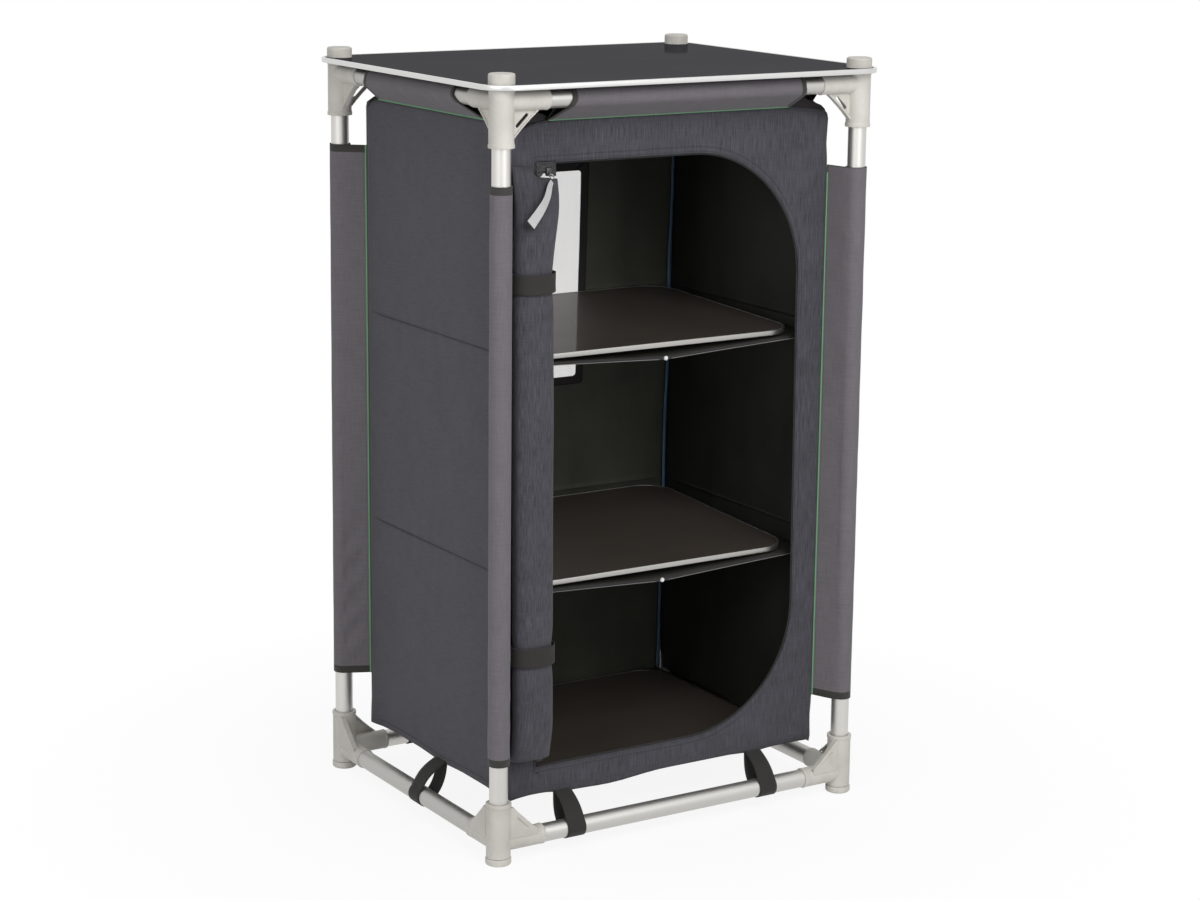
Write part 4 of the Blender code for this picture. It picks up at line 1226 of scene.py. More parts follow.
def roll_size(z):
    """Half width and half depth of the roll at a height: drawn in by the straps, flat at its ends."""
    pinch = pinched(z)
    top = min(1.0, max(0.0, (ROLL_Z[1] - z) / 0.10))
    foot = min(1.0, max(0.0, (z - ROLL_Z[0]) / 0.06))
    depth = ROLL_DEEP * (1 - 0.10 * pinch)
    for share, least in ((top, 0.20), (foot, 0.75)):
        depth *= least + (1 - least) * math.sin(share * math.pi / 2)
    return (ROLL_WIDE + 0.0050 * flare(z)) * (1 - 0.06 * pinch), depth


def roll_centre(z):
    return ROLL_X + 0.0130 * flare(z)


def roll_middle(z, depth):
    """The Y of the roll's middle: it clears the panel, but for its ends."""
    ends = smooth(0, 0.05, min(ROLL_Z[1] - z, z - ROLL_Z[0]))
    return -(half_depth(z) + 0.0016 + (ROLL_CLEAR - 0.0016) * ends + depth)


def roll_point(width, depth, angle):
    """A point of a flattened ellipse with full sides."""
    across, out = math.cos(angle), math.sin(angle)
    return Vector((width * math.copysign(abs(across) ** ROLL_FULL, across),
                   depth * math.copysign(abs(out) ** ROLL_FULL, out)))


def spiral(angle, wide=ROLL_WIDE, deep=ROLL_DEEP):
    """The spiral's point at an angle, drawn in by one turn's gap for each turn since the start."""
    shrink = TURN_GAP * (angle - SPIRAL_START) / math.tau
    share = deep / ROLL_DEEP
    return roll_point(max(0.004, wide - shrink), max(0.0012, deep - shrink * share), angle)


def spiral_table():
    """Angles along the spiral by the cloth's length from the start."""
    table, angle, run = [(0.0, SPIRAL_START)], SPIRAL_START, 0.0
    while run < DOOR_WIDE + 0.01:
        run += (spiral(angle + SPIRAL_STEP) - spiral(angle)).length
        angle += SPIRAL_STEP
        table.append((run, angle))
    return table


SPIRAL = spiral_table()


def spiral_angle(run):
    for (before, a), (after, b) in zip(SPIRAL, SPIRAL[1:]):
        if run <= after:
            return a + (b - a) * max(0.0, run - before) / (after - before)
    return SPIRAL[-1][1]


print("turns", round((spiral_angle(DOOR_WIDE) - SPIRAL_START) / math.tau, 2))

# %% The rolled door
def rolled_door():
    us = grid_lines(0, DOOR_WIDE, 0.0032)
    angles = {u: spiral_angle(u) for u in us}
    vs = grid_lines(0, 1, 0.0085)

    def place(u, v):
        u = us[nearest(us, u)]
        rounding = max(0.0, u - (DOOR_WIDE - DOOR_R))
        short = DOOR_R - math.sqrt(max(0.0, DOOR_R ** 2 - rounding ** 2))
        free = smooth(0.0, 0.030, u)
        low = ROLL_Z[0] - 0.008 * (1 - free) + short
        high = ROLL_Z[1] + 0.002 * (1 - free) - short
        z = low + (high - low) * v
        wide, deep = roll_size(z)
        angle = angles[u]
        at = spiral(angle, wide, deep)
        turn = (angle - SPIRAL_START) / math.tau
        fold = waver(math.cos(angle) * 0.9 + turn, z * 0.55, 0.30, 3.0 + 2.0 * math.floor(turn))
        ripple = 0.0010 * fold + 0.0005 * waver(math.sin(angle) + turn, z * 1.7, 0.22, 9.0)
        at *= 1 + (ripple * (1 - 0.85 * pinched(z)) - 0.0008) / max(0.006, at.length)
        lift = 0.012 * smooth(0.87, ROLL_Z[1], z) * smooth(0.003, -0.016, at.x) - 0.12 * at.x * flare(z)
        rolled = Vector((roll_centre(z) + at.x, roll_middle(z, deep) + at.y, z + lift))
        root = Vector((DOOR_X[0] + 0.0006, -half_depth(z) - 0.0006, z))
        return root.lerp(rolled, smooth(-0.002, 0.014, u))

    bm = cloth(us, vs, place)
    marked(bm, 2, lambda u, v: u > DOOR_WIDE - 0.008)
    made = piece("rolled_door_cloth", bm, [BODY_CLOTH, INNER_CLOTH, HEM_CLOTH, INNER_CLOTH], "top_frame",
                 ["rolled_door"], sharp=70)
    return thick(made, 0.0009, inside=1)


rolled_door()
print("rolled door")

# %% The door's straps
ROLL_MEAN_R = 0.024  # turns an angle round the roll into metres of strap
STRAP_HALF = 0.0125


def relaid(bm, rule):
    """Moves the points of the flat cloth in the UV map: rule takes u and v and gives the new ones."""
    flat = bm.loops.layers.uv.active
    for face in bm.faces:
        for loop in face.loops:
            loop[flat].uv = rule(*loop[flat].uv)
    return bm


def door_strap(name, z):
    def place(u, v):
        wide, deep = roll_size(z + 0.7 * v)
        at = roll_point(wide + 0.0004, deep + 0.0004, u)
        sway = 0.0009 * math.sin(u * 2 + 1)
        droop = 0.0016 * max(0.0, -v / STRAP_HALF) * math.sin(u + 0.6)
        return Vector((ROLL_X + at.x, roll_middle(z, deep) + at.y, z + v + sway + droop))

    bm = cloth([math.tau * i / 72 for i in range(73)], grid_lines(-STRAP_HALF, STRAP_HALF, 0.0025), place)
    bmesh.ops.remove_doubles(bm, verts=bm.verts, dist=1e-6)
    relaid(bm, lambda u, v: (u * ROLL_MEAN_R, v))
    bmesh.ops.recalc_face_normals(bm, faces=bm.faces)
    made = piece(f"door_strap_{name}_webbing", bm, [WEBBING], "top_frame", [f"door_strap_{name}"])
    return thick(made, 0.0011, offset=1.0)


for name, z in STRAP_HEIGHTS.items():
    door_strap(name, z)
print("2 straps")

# %% [markdown]
# The body hangs from the top rails by four tunnels of lighter cloth. Each tunnel is one strip that
# goes up from the top seam, round the rail and back down to the seam, and its cut ends are hemmed
# with dark tape. Four more tunnels hold the body's corners to the posts by a flat fin.

# %% Tunnels on the top rails
SEAM_Z = 0.9828
HEM = 0.0075
WRAP_R = 0.0139  # of cloth and webbing round a rail
# For a tunnel along X, and for one along Y: how far out its rail and its seam lie, and its half
# lengths on the rail and at the seam.
RAIL_SLEEVES = {True: (POST.y, HALF_DEPTH[1], (0.184, 0.194)),
                False: (POST.x, HALF_WIDTH[1], (0.1245, 0.1485))}


def teardrop_path(rail, seam, slack=0.0):
    """From the seam round the rail and back, as points across the tunnel. slack bows its two sides out."""
    rail, seam = Vector(rail), Vector(seam)
    reach, steps = seam - rail, 26
    towards, opening = math.atan2(reach.y, reach.x), math.acos(WRAP_R / reach.length)
    around = [towards + opening + (math.tau - 2 * opening) * i / steps for i in range(steps + 1)]
    loop = [rail + WRAP_R * Vector((math.cos(a), math.sin(a))) for a in around]
    flank = reach.normalized().orthogonal() * slack

    def side(start, end, bow):
        return [start.lerp(end, i / 8) + bow * math.sin(math.pi * i / 8) for i in range(1, 8)]

    return [seam, *side(seam, loop[0], flank), *loop, *side(loop[-1], seam, -flank), seam + flank * 0.02]


def faced(bm, way):
    """Turns a sheet's faces so that the one that lies furthest along a way also looks along it."""
    way = Vector(way)
    bmesh.ops.recalc_face_normals(bm, faces=bm.faces)
    far = max(bm.faces, key=lambda face: face.calc_center_median().dot(way))
    if far.normal.dot(way) < 0:
        bmesh.ops.reverse_faces(bm, faces=bm.faces)
    return bm


def rail_sleeve(name, along_x, sign, seed):
    rail_off, seam_off, halves = RAIL_SLEEVES[along_x]
    path = teardrop_path((rail_off, TOP_RAIL_Z), (seam_off - 0.0006, SEAM_Z - 0.0008))
    girth = path_lengths(path)
    runs = [round(r, 6) for r in girth]

    def place(u, v):
        out, z = path[nearest(runs, v)]
        low = min(1.0, max(0.0, (TOP_RAIL_Z - z) / (TOP_RAIL_Z - SEAM_Z)))
        along = u * (halves[0] + (halves[1] - halves[0]) * low)
        away = Vector((out - rail_off, z - TOP_RAIL_Z))
        loose = 0.0007 * waver(along, v * 0.5, 0.022, seed) * smooth(0, 0.3, 1 - low)
        out += away.x / away.length * loose
        z += away.y / away.length * loose
        return Vector((along, sign * out, z)) if along_x else Vector((sign * out, along, z))

    half = halves[0]
    us = [x / half for x in grid_lines(-half, half, 0.005, (-half + HEM, half - HEM), (0.0008,))]
    bm = cloth(us, runs, place)
    marked(bm, 2, lambda u, v: abs(u) > 1 - HEM / half)
    relaid(bm, lambda u, v: (u * half, v))
    faced(bm, (0, 0, 1))
    made = piece(f"rail_sleeve_{name}_cloth", bm, [SLEEVE_CLOTH, INNER_CLOTH, HEM_CLOTH, INNER_CLOTH],
                 "top_frame", [f"rail_sleeve_{name}"])
    2 * half
    return thick(made, 0.0009, inside=1, rim=1)


SIDES = (("front", True, -1), ("back", True, 1), ("left", False, -1), ("right", False, 1))
for name, along_x, sign in SIDES:
    rail_sleeve(name, along_x, sign, 41.0 + len(name))
print("4 rail tunnels")

# %% Tunnels on the posts, with their fins
POST_SLEEVE_Z = (0.1375, 0.907)
SLEEVE_SLIP = {"fl": 0.0, "fr": 0.003, "bl": 0.0085, "br": 0.003}  # how far each one has slipped up
SLEEVE_R = 0.0146
END_HEM = 0.0105
FIN_WAVE = 0.054  # the length of a fin's one soft bow, from its seam on
FIN_GAP = 0.0019  # between the outer sides of the fin's two layers
RING_TURN = math.radians(328)


def sleeve_span(corner):
    """The heights of a tunnel's lower and upper end."""
    return [z + SLEEVE_SLIP[corner] for z in POST_SLEEVE_Z]


def fin_frame(z, hand):
    """The fin at a height, for the back right corner: its seam, its way to the tunnel and its outer side.

    The fin meets the tunnel on the y side with hand 1, and on the x side with hand -1.
    """
    seam = Vector((half_width(z), half_depth(z)))
    reach = Vector((POST.x, POST.y)) - seam
    turn = math.atan2(reach.y, reach.x) + hand * math.asin(SLEEVE_R / reach.length)
    return seam, Vector((math.cos(turn), math.sin(turn))), hand * Vector((-math.sin(turn), math.cos(turn)))


def sleeve_section(z, seed, hand):
    """The sewn line round one tunnel: up the fin's outer layer, round the post and back."""
    seam, way, outer = fin_frame(z, hand)
    post, first = Vector((POST.x, POST.y)), math.atan2(outer.y, outer.x)
    ring = []
    for i in range(31):
        angle = first - hand * RING_TURN * i / 30
        loose = 0.0005 * math.sin(math.pi * i / 30) * waver(angle * 0.02, z, 0.05, seed)
        ring.append(post + (SLEEVE_R + loose) * Vector((math.cos(angle), math.sin(angle))))

    folded = smooth(0.14, 0.20, z) * smooth(0.40, 0.33, z)
    drawn = 0.0017 * folded if hand < 0 else 0.0  # slanting folds low on a back fin

    def layer(end, gap):
        start, points = seam - outer * gap, []
        for i in range(12):
            point = start.lerp(end, i / 12)
            share = min(1.0, max(0.0, (point - seam).dot(way) / FIN_WAVE))
            wave = 0.0013 * waver(share * 0.048 + z * 0.6, z * 1.5, 0.045, seed)
            wave += 0.0006 * math.sin(z * 9 + seed)
            wave += drawn * math.sin(math.tau * (z + 0.045 * share) / 0.048)
            points.append(point + outer * wave * math.sin(math.pi * share))
        return points

    return layer(ring[0], 0.0) + ring + layer(ring[-1], FIN_GAP)[::-1]


def post_sleeve(corner, side, depth, seed):
    hand = -depth  # the fins of the front face the front, those of the back the sides
    runs = [round(r, 6) for r in path_lengths(sleeve_section(0.52, seed, hand))]
    low, high = sleeve_span(corner)
    sections = {}

    def place(u, z):
        if z not in sections:
            sections[z] = sleeve_section(z, seed, hand)
        point = sections[z][nearest(runs, u)]
        return Vector((side * point.x, depth * point.y, z))

    bm = cloth(runs, grid_lines(low, high, 0.0075, (low + END_HEM, high - END_HEM), (0.0008,)), place)
    marked(bm, 2, lambda u, v: v < low + END_HEM or v > high - END_HEM)
    faced(bm, (side, 0, 0))
    made = piece(f"post_sleeve_{corner}_cloth", bm, [SLEEVE_CLOTH, INNER_CLOTH, HEM_CLOTH, HEM_CLOTH],
                 "top_frame", [f"post_sleeve_{corner}"])
    return thick(made, 0.0007, inside=1)


for seed, (corner, (side, depth)) in enumerate(CORNERS.items()):
    post_sleeve(corner, side, depth, 50.0 + 7 * seed)
print("4 post tunnels")

# %% [markdown]
# A thin green piping is sewn into the top seams and into the seams of the fins. It is a round cord
# in a folded strip, so here each run is a tube along a line.

# %% Piping
PIPING_R = 0.0013
PIPING_HALF = (0.190, 0.146)  # half the length of a run along X and of one along Y


def tube_along(points, radius):
    """A round bead with eight sides along a line, with its ends closed."""
    curve = bpy.data.curves.new("line", "CURVE")
    curve.dimensions = "3D"
    curve.bevel_depth, curve.bevel_resolution, curve.use_fill_caps = radius, 1, True
    spline = curve.splines.new("POLY")
    spline.points.add(len(points) - 1)
    for target, point in zip(spline.points, points):
        target.co = (*point, 1)
    line = bpy.data.objects.new("line", curve)
    bpy.context.scene.collection.objects.link(line)
    return evaluated(line)


def beads(runs, radius):
    """Many beads as one bmesh."""
    whole = bmesh.new()
    for points in runs:
        mesh = tube_along(points, radius)
        whole.from_mesh(mesh)
        bpy.data.meshes.remove(mesh)
    return whole


def piping():
    runs = []
    z, (half_x, half_y) = SEAM_Z + 0.0004, PIPING_HALF
    for sign in (-1, 1):
        y, x = sign * (half_depth(BODY_Z[1]) + PIPING_R), sign * (half_width(BODY_Z[1]) + PIPING_R)
        runs.append([Vector((-half_x + 2 * half_x * i / 40, y, z)) for i in range(41)])
        runs.append([Vector((x, -half_y + 2 * half_y * i / 30, z)) for i in range(31)])
    for corner, (side, depth) in CORNERS.items():
        low, high = sleeve_span(corner)
        off = (0.0004, 0.0012) if depth < 0 else (0.0009, 0.0006)
        runs.append([Vector((side * (half_width(h) + off[0]), depth * (half_depth(h) + off[1]), h))
                     for h in grid_lines(low, high, 0.02)])
    return piece("piping_cords", beads(runs, PIPING_R), [PIPING], "top_frame")


piping()
print("8 runs of piping")

# %% [markdown]
# Every seam is sewn: with grey thread on the panel and the tunnels, and with a darker one on the
# walls. A stitch is one small bead that lies in its groove. The beads are cheap, twenty triangles
# each, because there are thousands of them.

# %% Stitches
STITCH_PITCH, STITCH_LENGTH, STITCH_R = 0.0031, 0.0023, 0.00027
THREAD_OUT = 0.0001  # a row lies this far out of its cloth, or in where it is drawn in
SLEEVE_ROW = 0.12  # how far a tunnel's row is up its side, as a share


def resampled(line, pitch):
    """Middle points and directions at an even pitch along a line."""
    runs = path_lengths(line)
    count = int(runs[-1] / pitch)
    spots, i = [], 0
    for k in range(count):
        run = (k + 0.5) * runs[-1] / count
        while i < len(runs) - 2 and runs[i + 1] < run:
            i += 1
        way = line[i + 1] - line[i]
        spots.append((line[i] + way * (run - runs[i]) / (runs[i + 1] - runs[i]), way.normalized()))
    return spots


def stitch_bead(bm, at, way, length=STITCH_LENGTH, radius=STITCH_R):
    """A long bead: two points and two rings of five."""
    side = way.orthogonal().normalized()
    lift = way.cross(side)
    turns = [math.tau * k / 5 for k in range(5)]
    spokes = [radius * (side * math.cos(a) + lift * math.sin(a)) for a in turns]
    rings = []
    for share in (-0.3, 0.3):
        rings.append([bm.verts.new(at + way * length * share + spoke) for spoke in spokes])
    start, end = (bm.verts.new(at + way * length * share) for share in (-0.5, 0.5))
    for k in range(5):
        n = (k + 1) % 5
        bm.faces.new((start, rings[0][n], rings[0][k]))
        bm.faces.new((rings[0][k], rings[0][n], rings[1][n], rings[1][k]))
        bm.faces.new((rings[1][k], rings[1][n], end))


def stitched(name, lines, finish):
    bm = bmesh.new()
    for line in lines:
        for at, way in resampled(line, STITCH_PITCH):
            stitch_bead(bm, at, way)
    return piece(name, bm, [finish], "top_frame", sharp=80)


def on_front(points, out=THREAD_OUT):
    """Points of the front panel's plane, X and Z, put on its outer side."""
    return [Vector((x, -half_depth(z) - out - panel_bulge(x, z), z)) for x, z in points]


def dense(points, step=0.006):
    """The same line with a point at least every step."""
    points = [Vector(p) for p in points]
    line = [points[0]]
    for a, b in zip(points, points[1:]):
        count = max(1, math.ceil((b - a).length / step))
        line += [a.lerp(b, i / count) for i in range(1, count + 1)]
    return line


print("a stitch every", 1000 * STITCH_PITCH, "mm")

# %% Rows of stitches
def panel_stitches():
    lines = []
    for row in STITCH_ROWS:
        outline = door_outline(row)
        lines.append(on_front(dense(outline + outline[:1]), -THREAD_OUT))
    for z in (0.9005, 0.9065, 0.9250, 0.9310):
        lines.append(on_front(dense([(-0.250, z - 0.001), (-0.211, z)])))
    for z in (0.1225, 0.1290):
        lines.append(on_front(dense([(-0.247, z), (-0.2095, z)])))
    lines.append(on_front([(x, front_hem(x) + 0.009) for x in grid_lines(-0.247, 0.247, 0.008)]))
    for side in (-1, 1):
        edge = [(side * (half_width(z) - 0.006), z) for z in grid_lines(0.085, 0.945, 0.01)]
        lines.append(on_front(edge))
    return stitched("front_panel_stitches", lines, THREAD)


def sleeve_stitches():
    lines = []
    for corner, (side, depth) in CORNERS.items():
        low, high = sleeve_span(corner)
        for lift in (THREAD_OUT, -FIN_GAP - THREAD_OUT):
            row = []
            for z in grid_lines(low + 0.004, high - 0.004, 0.01):
                seam, way, outer = fin_frame(z, -depth)
                at = seam + way * 0.0045 + outer * lift
                row.append(Vector((side * at.x, depth * at.y, z)))
            lines.append(row)
    z = SEAM_Z + SLEEVE_ROW * (TOP_RAIL_Z - SEAM_Z) - 0.0010
    for sign in (-1, 1):
        for along_x, (rail, seam, halves) in RAIL_SLEEVES.items():
            out = sign * (seam - 0.0004 + SLEEVE_ROW * (rail - seam) + 0.0012)
            row = [(t, z) for t in grid_lines(-halves[1] + 0.008, halves[1] - 0.008, 0.01)]
            lines.append([Vector((t, out, h)) if along_x else Vector((out, t, h)) for t, h in row])
    return stitched("sleeve_stitches", lines, THREAD)


def wall_stitches():
    lines = []
    for sign in (-1, 1):
        for z in SEAM_HEIGHTS:
            x = sign * (half_width(z) + 0.0003)
            lines.append([Vector((x, y, z + 0.0016)) for y in grid_lines(-0.180, 0.180, 0.01)])
        edge_x = sign * (half_width(BODY_Z[0]) + 0.0002)
        lines.append([Vector((edge_x, y, hem_height(y, 0.195, SIDE_LOOPS) + 0.009))
                      for y in grid_lines(-0.190, 0.190, 0.01)])
    return stitched("wall_stitches", lines, DARK_THREAD)


panel_stitches()
sleeve_stitches()
wall_stitches()
print("stitches")

# %% [markdown]
# The door opens with a coil zip. Half of it stays on the panel: a black tape behind the opening's
# edge, and the coil's turns on the tape's rim. It runs from the upper left corner along the top,
# down the right side and back along the bottom. A black patch covers its upper end.

# %% The zip's tape, coil and end patch
COIL_PITCH, COIL_LENGTH, COIL_R = 0.0016, 0.0034, 0.00055
ZIP_TAPE_EDGES, ZIP_TAPE_WIDE = (0.0096, -0.0024), 0.012  # outwards from the opening's edge
PATCH_LEFT, PATCH_TOP, PATCH_LONG = -0.2090, 0.9302, 0.030
FOOT_STOPS = (((-0.2030, -0.1979, 0.1225), 0.010), ((-0.2060, -0.1973, 0.1215), 0.004))


def block(bm, centre, sizes, turn=Matrix()):
    """Adds a plain block to a bmesh."""
    place = Matrix.Translation(centre) @ turn @ Matrix.Diagonal((*sizes, 1))
    bmesh.ops.create_cube(bm, size=1.0, matrix=place)


def ease_edges(bm, radius, segments=2):
    """Rounds all edges of a bmesh."""
    bmesh.ops.bevel(bm, geom=bm.edges[:], offset=radius, segments=segments, profile=0.5,
                    affect="EDGES", material=-1)


def zip_line(offset, behind):
    """The zip's way round the opening, at an offset from the edge, and behind the panel."""
    outline = door_outline(offset)
    return [Vector((p.x, -half_depth(p.y) + behind, p.y)) for p in dense(outline, 0.004)]


def zip_tape():
    outer, inner = (zip_line(edge, FABRIC + 0.0004) for edge in ZIP_TAPE_EDGES)
    count = len(outer)
    inner = [inner[round(i * (len(inner) - 1) / (count - 1))] for i in range(count)]
    runs = path_lengths(outer)

    def place(u, v):
        return outer[round(u)].lerp(inner[round(u)], v)

    bm = cloth(list(range(count)), [0, 0.25, 0.5, 0.75, 1], place)
    relaid(bm, lambda u, v: (runs[round(u)], v * ZIP_TAPE_WIDE))
    made = piece("zip_tape", bm, [WEBBING], "top_frame")
    return thick(made, 0.0006, offset=0.0)


def zip_coil():
    bm = bmesh.new()
    for at, way in resampled(zip_line(-0.0014, FABRIC - 0.0002), COIL_PITCH):
        inward = Vector((0, -1, 0)).cross(way)
        stitch_bead(bm, at, (inward + Vector((0, -0.25, 0))).normalized(), COIL_LENGTH, COIL_R)
    return piece("zip_coil", bm, [COIL], "top_frame", sharp=80)


def zip_patch():
    """The patch over the zip's upper end, and the stop at its foot."""
    def place(u, v):
        tall = 0.0125 + 0.24 * u + 0.0035 * waver(u, 0, 0.007, 3.0) + 0.0050 * smooth(0.012, 0.007, u)
        z = PATCH_TOP - v * tall - 0.04 * u
        return Vector((PATCH_LEFT + u, -half_depth(z) - 0.0011 - 0.0008 * waver(u, v, 0.01, 8.0), z))

    bm = cloth(grid_lines(0, PATCH_LONG, 0.0015), grid_lines(0, 1, 0.08), place)
    made = piece("zip_end_patch", bm, [COIL], "top_frame")
    thick(made, 0.0009)
    stop = bmesh.new()
    for at, across in FOOT_STOPS:
        block(stop, at, (across, 0.0012, 0.003))
    ease_edges(stop, 0.0004)
    return piece("zip_foot_stop", stop, [COIL], "top_frame")


zip_tape()
zip_coil()
zip_patch()
print("zip")

# %% [markdown]
# At each upper corner the ceiling's black cloth comes out between the two tunnels, above the ends
# of the walls. Inside, the body's upright seams are bound with blue tape.

# %% Corner tabs and inner bindings
TAB_LINE = ((0.184, 0.9838), (0.193, 0.9885), (0.2050, 0.9935), (0.2141, 0.9990), (0.2194, 0.9937),
            (0.2367, 0.9862), (0.2480, 0.9825), (0.2545, 0.9765), (0.2570, 0.9690))
TAB_FLANK = ((0.181, 0.9725), (0.172, 0.9790), (0.148, 0.9868), (0.139, 0.9840))


def line_at(line, share):
    """The point of a line at a share of its length."""
    runs = path_lengths(line)
    run = share * runs[-1]
    for i, (a, b) in enumerate(zip(runs, runs[1:])):
        if run <= b:
            return line[i].lerp(line[i + 1], (run - a) / (b - a))
    return line[-1]


def corner_tab(corner, side, depth):
    """Black cloth between two tunnels: behind the front seam, round the corner and along the side."""
    front = [Vector((x, half_depth(0.98) - 0.0016, z)) for x, z in TAB_LINE]
    turn = Vector((half_width(0.97) - 0.003, half_depth(0.97) - 0.004, 0.9680))
    flank = [Vector((half_width(0.98) - 0.0022, y, z)) for y, z in TAB_FLANK]
    top = front + [turn] + flank
    inner = [Vector((p.x * 0.955, p.y * 0.945, p.z - 0.0035)) for p in top]

    def place(u, v):
        a, b = line_at(top, u), line_at(inner, u)
        low = Vector((a.x, a.y, min(a.z - 0.002, 0.9750 - 0.017 * dent(u, 0.60, 0.22))))
        point = a.lerp(low, -v) if v < 0 else a.lerp(b, v)
        point.z += 0.0010 * waver(u, v, 0.06, 5.0)
        point.x = min(point.x, half_width(point.z) - 0.0024)
        point.y = min(point.y, half_depth(point.z) - 0.0018)
        return Vector((side * point.x, depth * point.y, point.z))

    bm = cloth([i / 60 for i in range(61)], [-1, -0.5, 0, 0.35, 0.7, 1], place)
    relaid(bm, lambda u, v: (u * 0.14, v * 0.012))
    made = piece(f"corner_tab_{corner}", bm, [TAB_CLOTH], "top_frame")
    return thick(made, 0.0008, offset=0.0)


def corner_binding(side, seed):
    """A folded tape that stands out of the back corner's seam."""
    def place(u, z):
        sway = 0.0030 * waver(0, z, 0.13, seed) + 0.0008 * waver(0, z, 0.03, seed + 2)
        fold = abs(u)
        x = half_width(z) - 0.0030 - 0.0055 * (1 - fold) - 0.0014 * (u > 0) + sway
        y = half_depth(z) - 0.0026 - 0.0045 * (1 - fold) + (0.0009 if u > 0 else -0.0009)
        return Vector((side * x, y, z))

    across = [-1, -0.75, -0.5, -0.25, -0.08, 0.08, 0.25, 0.5, 0.75, 1]
    bm = cloth(across, grid_lines(0.078, 0.974, 0.012), place)
    relaid(bm, lambda u, v: (u * 0.007, v))
    marked(bm, 1, lambda u, v: u > 0.0001)
    name = "corner_binding_right" if side > 0 else "corner_binding_left"
    made = piece(name, bm, [BINDING, BINDING_BACK], "top_frame")
    return thick(made, 0.0005, offset=0.0)


for corner, (side, depth) in CORNERS.items():
    corner_tab(corner, side, depth)
for side in (-1, 1):
    corner_binding(side, 81.0 + side)
print("4 tabs, 2 bindings")

# %% Ceiling and floor cloth
def lining(name, node, z, sag, seed, tuck=0.0):
    """A level cloth between the walls. tuck is how far its corners are pulled down."""
    wide, deep = half_width(z) - 0.0015, half_depth(z) - 0.0012

    def place(u, v):
        calm = smooth(0, 0.03, half_width(z) - abs(u)) * smooth(0, 0.03, half_depth(z) - abs(v))
        corner = smooth(0.80, 1.0, abs(u) / wide) * smooth(0.74, 1.0, abs(v) / deep)
        pull = 1 - 1.6 * tuck * corner
        wave = 0.0008 * waver(u, v, 0.06, seed)
        return Vector((u * pull, v * pull, z - tuck * corner + calm * (sag + wave)))

    bm = cloth(grid_lines(-wide, wide, 0.012), grid_lines(-deep, deep, 0.012), place)
    made = piece(name, bm, [INNER_CLOTH], "top_frame", [node])
    2 * wide
    2 * deep
    return thick(made, 0.0009, offset=0.0)


lining("ceiling_cloth", "cloth_top", BODY_Z[1] - 0.003, -0.0005, 61.0, 0.018)
lining("floor_cloth", "cloth_floor", BODY_Z[0] + 0.0035, -0.0004, 67.0)
print("ceiling and floor")

# %% [markdown]
# Each hung board lies on a cloth that is sewn to the back and the side walls. Its front edge is free
# and hemmed: it sags to its middle. A press stud in the middle holds the board's front.

# %% Shelf cloths
SHELF_CLOTH_FRONT = -0.172
STUD_X = 0.007
STUD_PROFILE = [(0, 0.0030), (0.0015, 0.0029), (0.0025, 0.0024), (0.0031, 0.0013), (0.0031, 0.0002),
                (0.0022, 0), (0, 0)]


def edge_sag(u, wide):
    """The free edge hangs like a shallow tent turned over, deepest at the stud."""
    return 0.0115 * max(0.0, 1 - abs(u - STUD_X) / (wide + STUD_X)) ** 1.15


def under_board(name):
    """The height under a board at its mount's own Y, that Y, and the board's slope along Y."""
    mount = MOUNTS[f"shelf_{name}_surface"]
    up, top = Vector(mount["axis"]), Vector(mount["pos_m"])
    return top.z + SINK - SHELF_THICKNESS / up.z - 0.0007, top.y, -up.y / up.z


def shelf_cloth(name, seed):
    under, level_y, slope = under_board(name)
    wide, back, front = half_width(under) - 0.0030, half_depth(under) - 0.0030, SHELF_CLOTH_FRONT

    def place(u, v):
        share = (back - v) / (back - front)
        sag = edge_sag(u, wide) * share ** 3
        sag += 0.0010 * abs(waver(u, v, 0.05, seed)) * smooth(0.8, 1.0, share)
        return Vector((u, v, under + (v - level_y) * slope - sag))

    vs = grid_lines(front, back, 0.010, (front + 0.012,), (0.0008,))
    bm = cloth(grid_lines(-wide, wide, 0.010), vs, place)
    made = piece(f"shelf_cloth_{name}_sheet", bm, [INNER_CLOTH], "top_frame", [f"shelf_cloth_{name}"])
    2 * wide
    back - front
    return thick(made, 0.0012)


def shelf_hem(name):
    """The folded hem on the free edge with its cord, and the stud with its two tabs."""
    under, level_y, slope = under_board(name)
    wide, front = half_width(under) - 0.0032, SHELF_CLOTH_FRONT

    def edge(u):
        return under + (front - level_y) * slope - edge_sag(u, wide)

    def place(u, v):
        return Vector((u, front + 0.0009 * math.cos(v) - 0.0006, edge(u) - 0.0004 + 0.0018 * math.sin(v)))

    bm = cloth(grid_lines(-wide, wide, 0.008), [math.radians(a) for a in range(90, 451, 15)], place)
    hem = piece(f"shelf_hem_{name}", bm, [TAB_CLOTH], "top_frame")
    rim = [Vector((u, front - 0.0010, edge(u) - 0.0026)) for u in grid_lines(-wide, wide, 0.008)]
    piece(f"shelf_hem_cord_{name}", beads([rim], 0.0006), [CORD], "top_frame")
    2 * wide
    thick(hem, 0.0006, offset=0.0)
    place_stud = Matrix.Translation((STUD_X, front - 0.0012, edge(STUD_X) - 0.0010)) @ UPRIGHT
    stud = lathe(STUD_PROFILE, steps=24, place=place_stud)
    piece(f"shelf_stud_{name}", stud, [STUD_CAP], "top_frame")
    tabs = bmesh.new()
    for shift in (-0.0070, 0.0070):
        at = (STUD_X + shift, front - 0.0012, edge(STUD_X) - 0.0006)
        tilt = Matrix.Rotation(math.copysign(0.12, -shift), 4, "Y")
        block(tabs, at, (0.0068, 0.0010, 0.0042), tilt)
    ease_edges(tabs, 0.0003)
    piece(f"shelf_tabs_{name}", tabs, [DARK_THREAD], "top_frame")


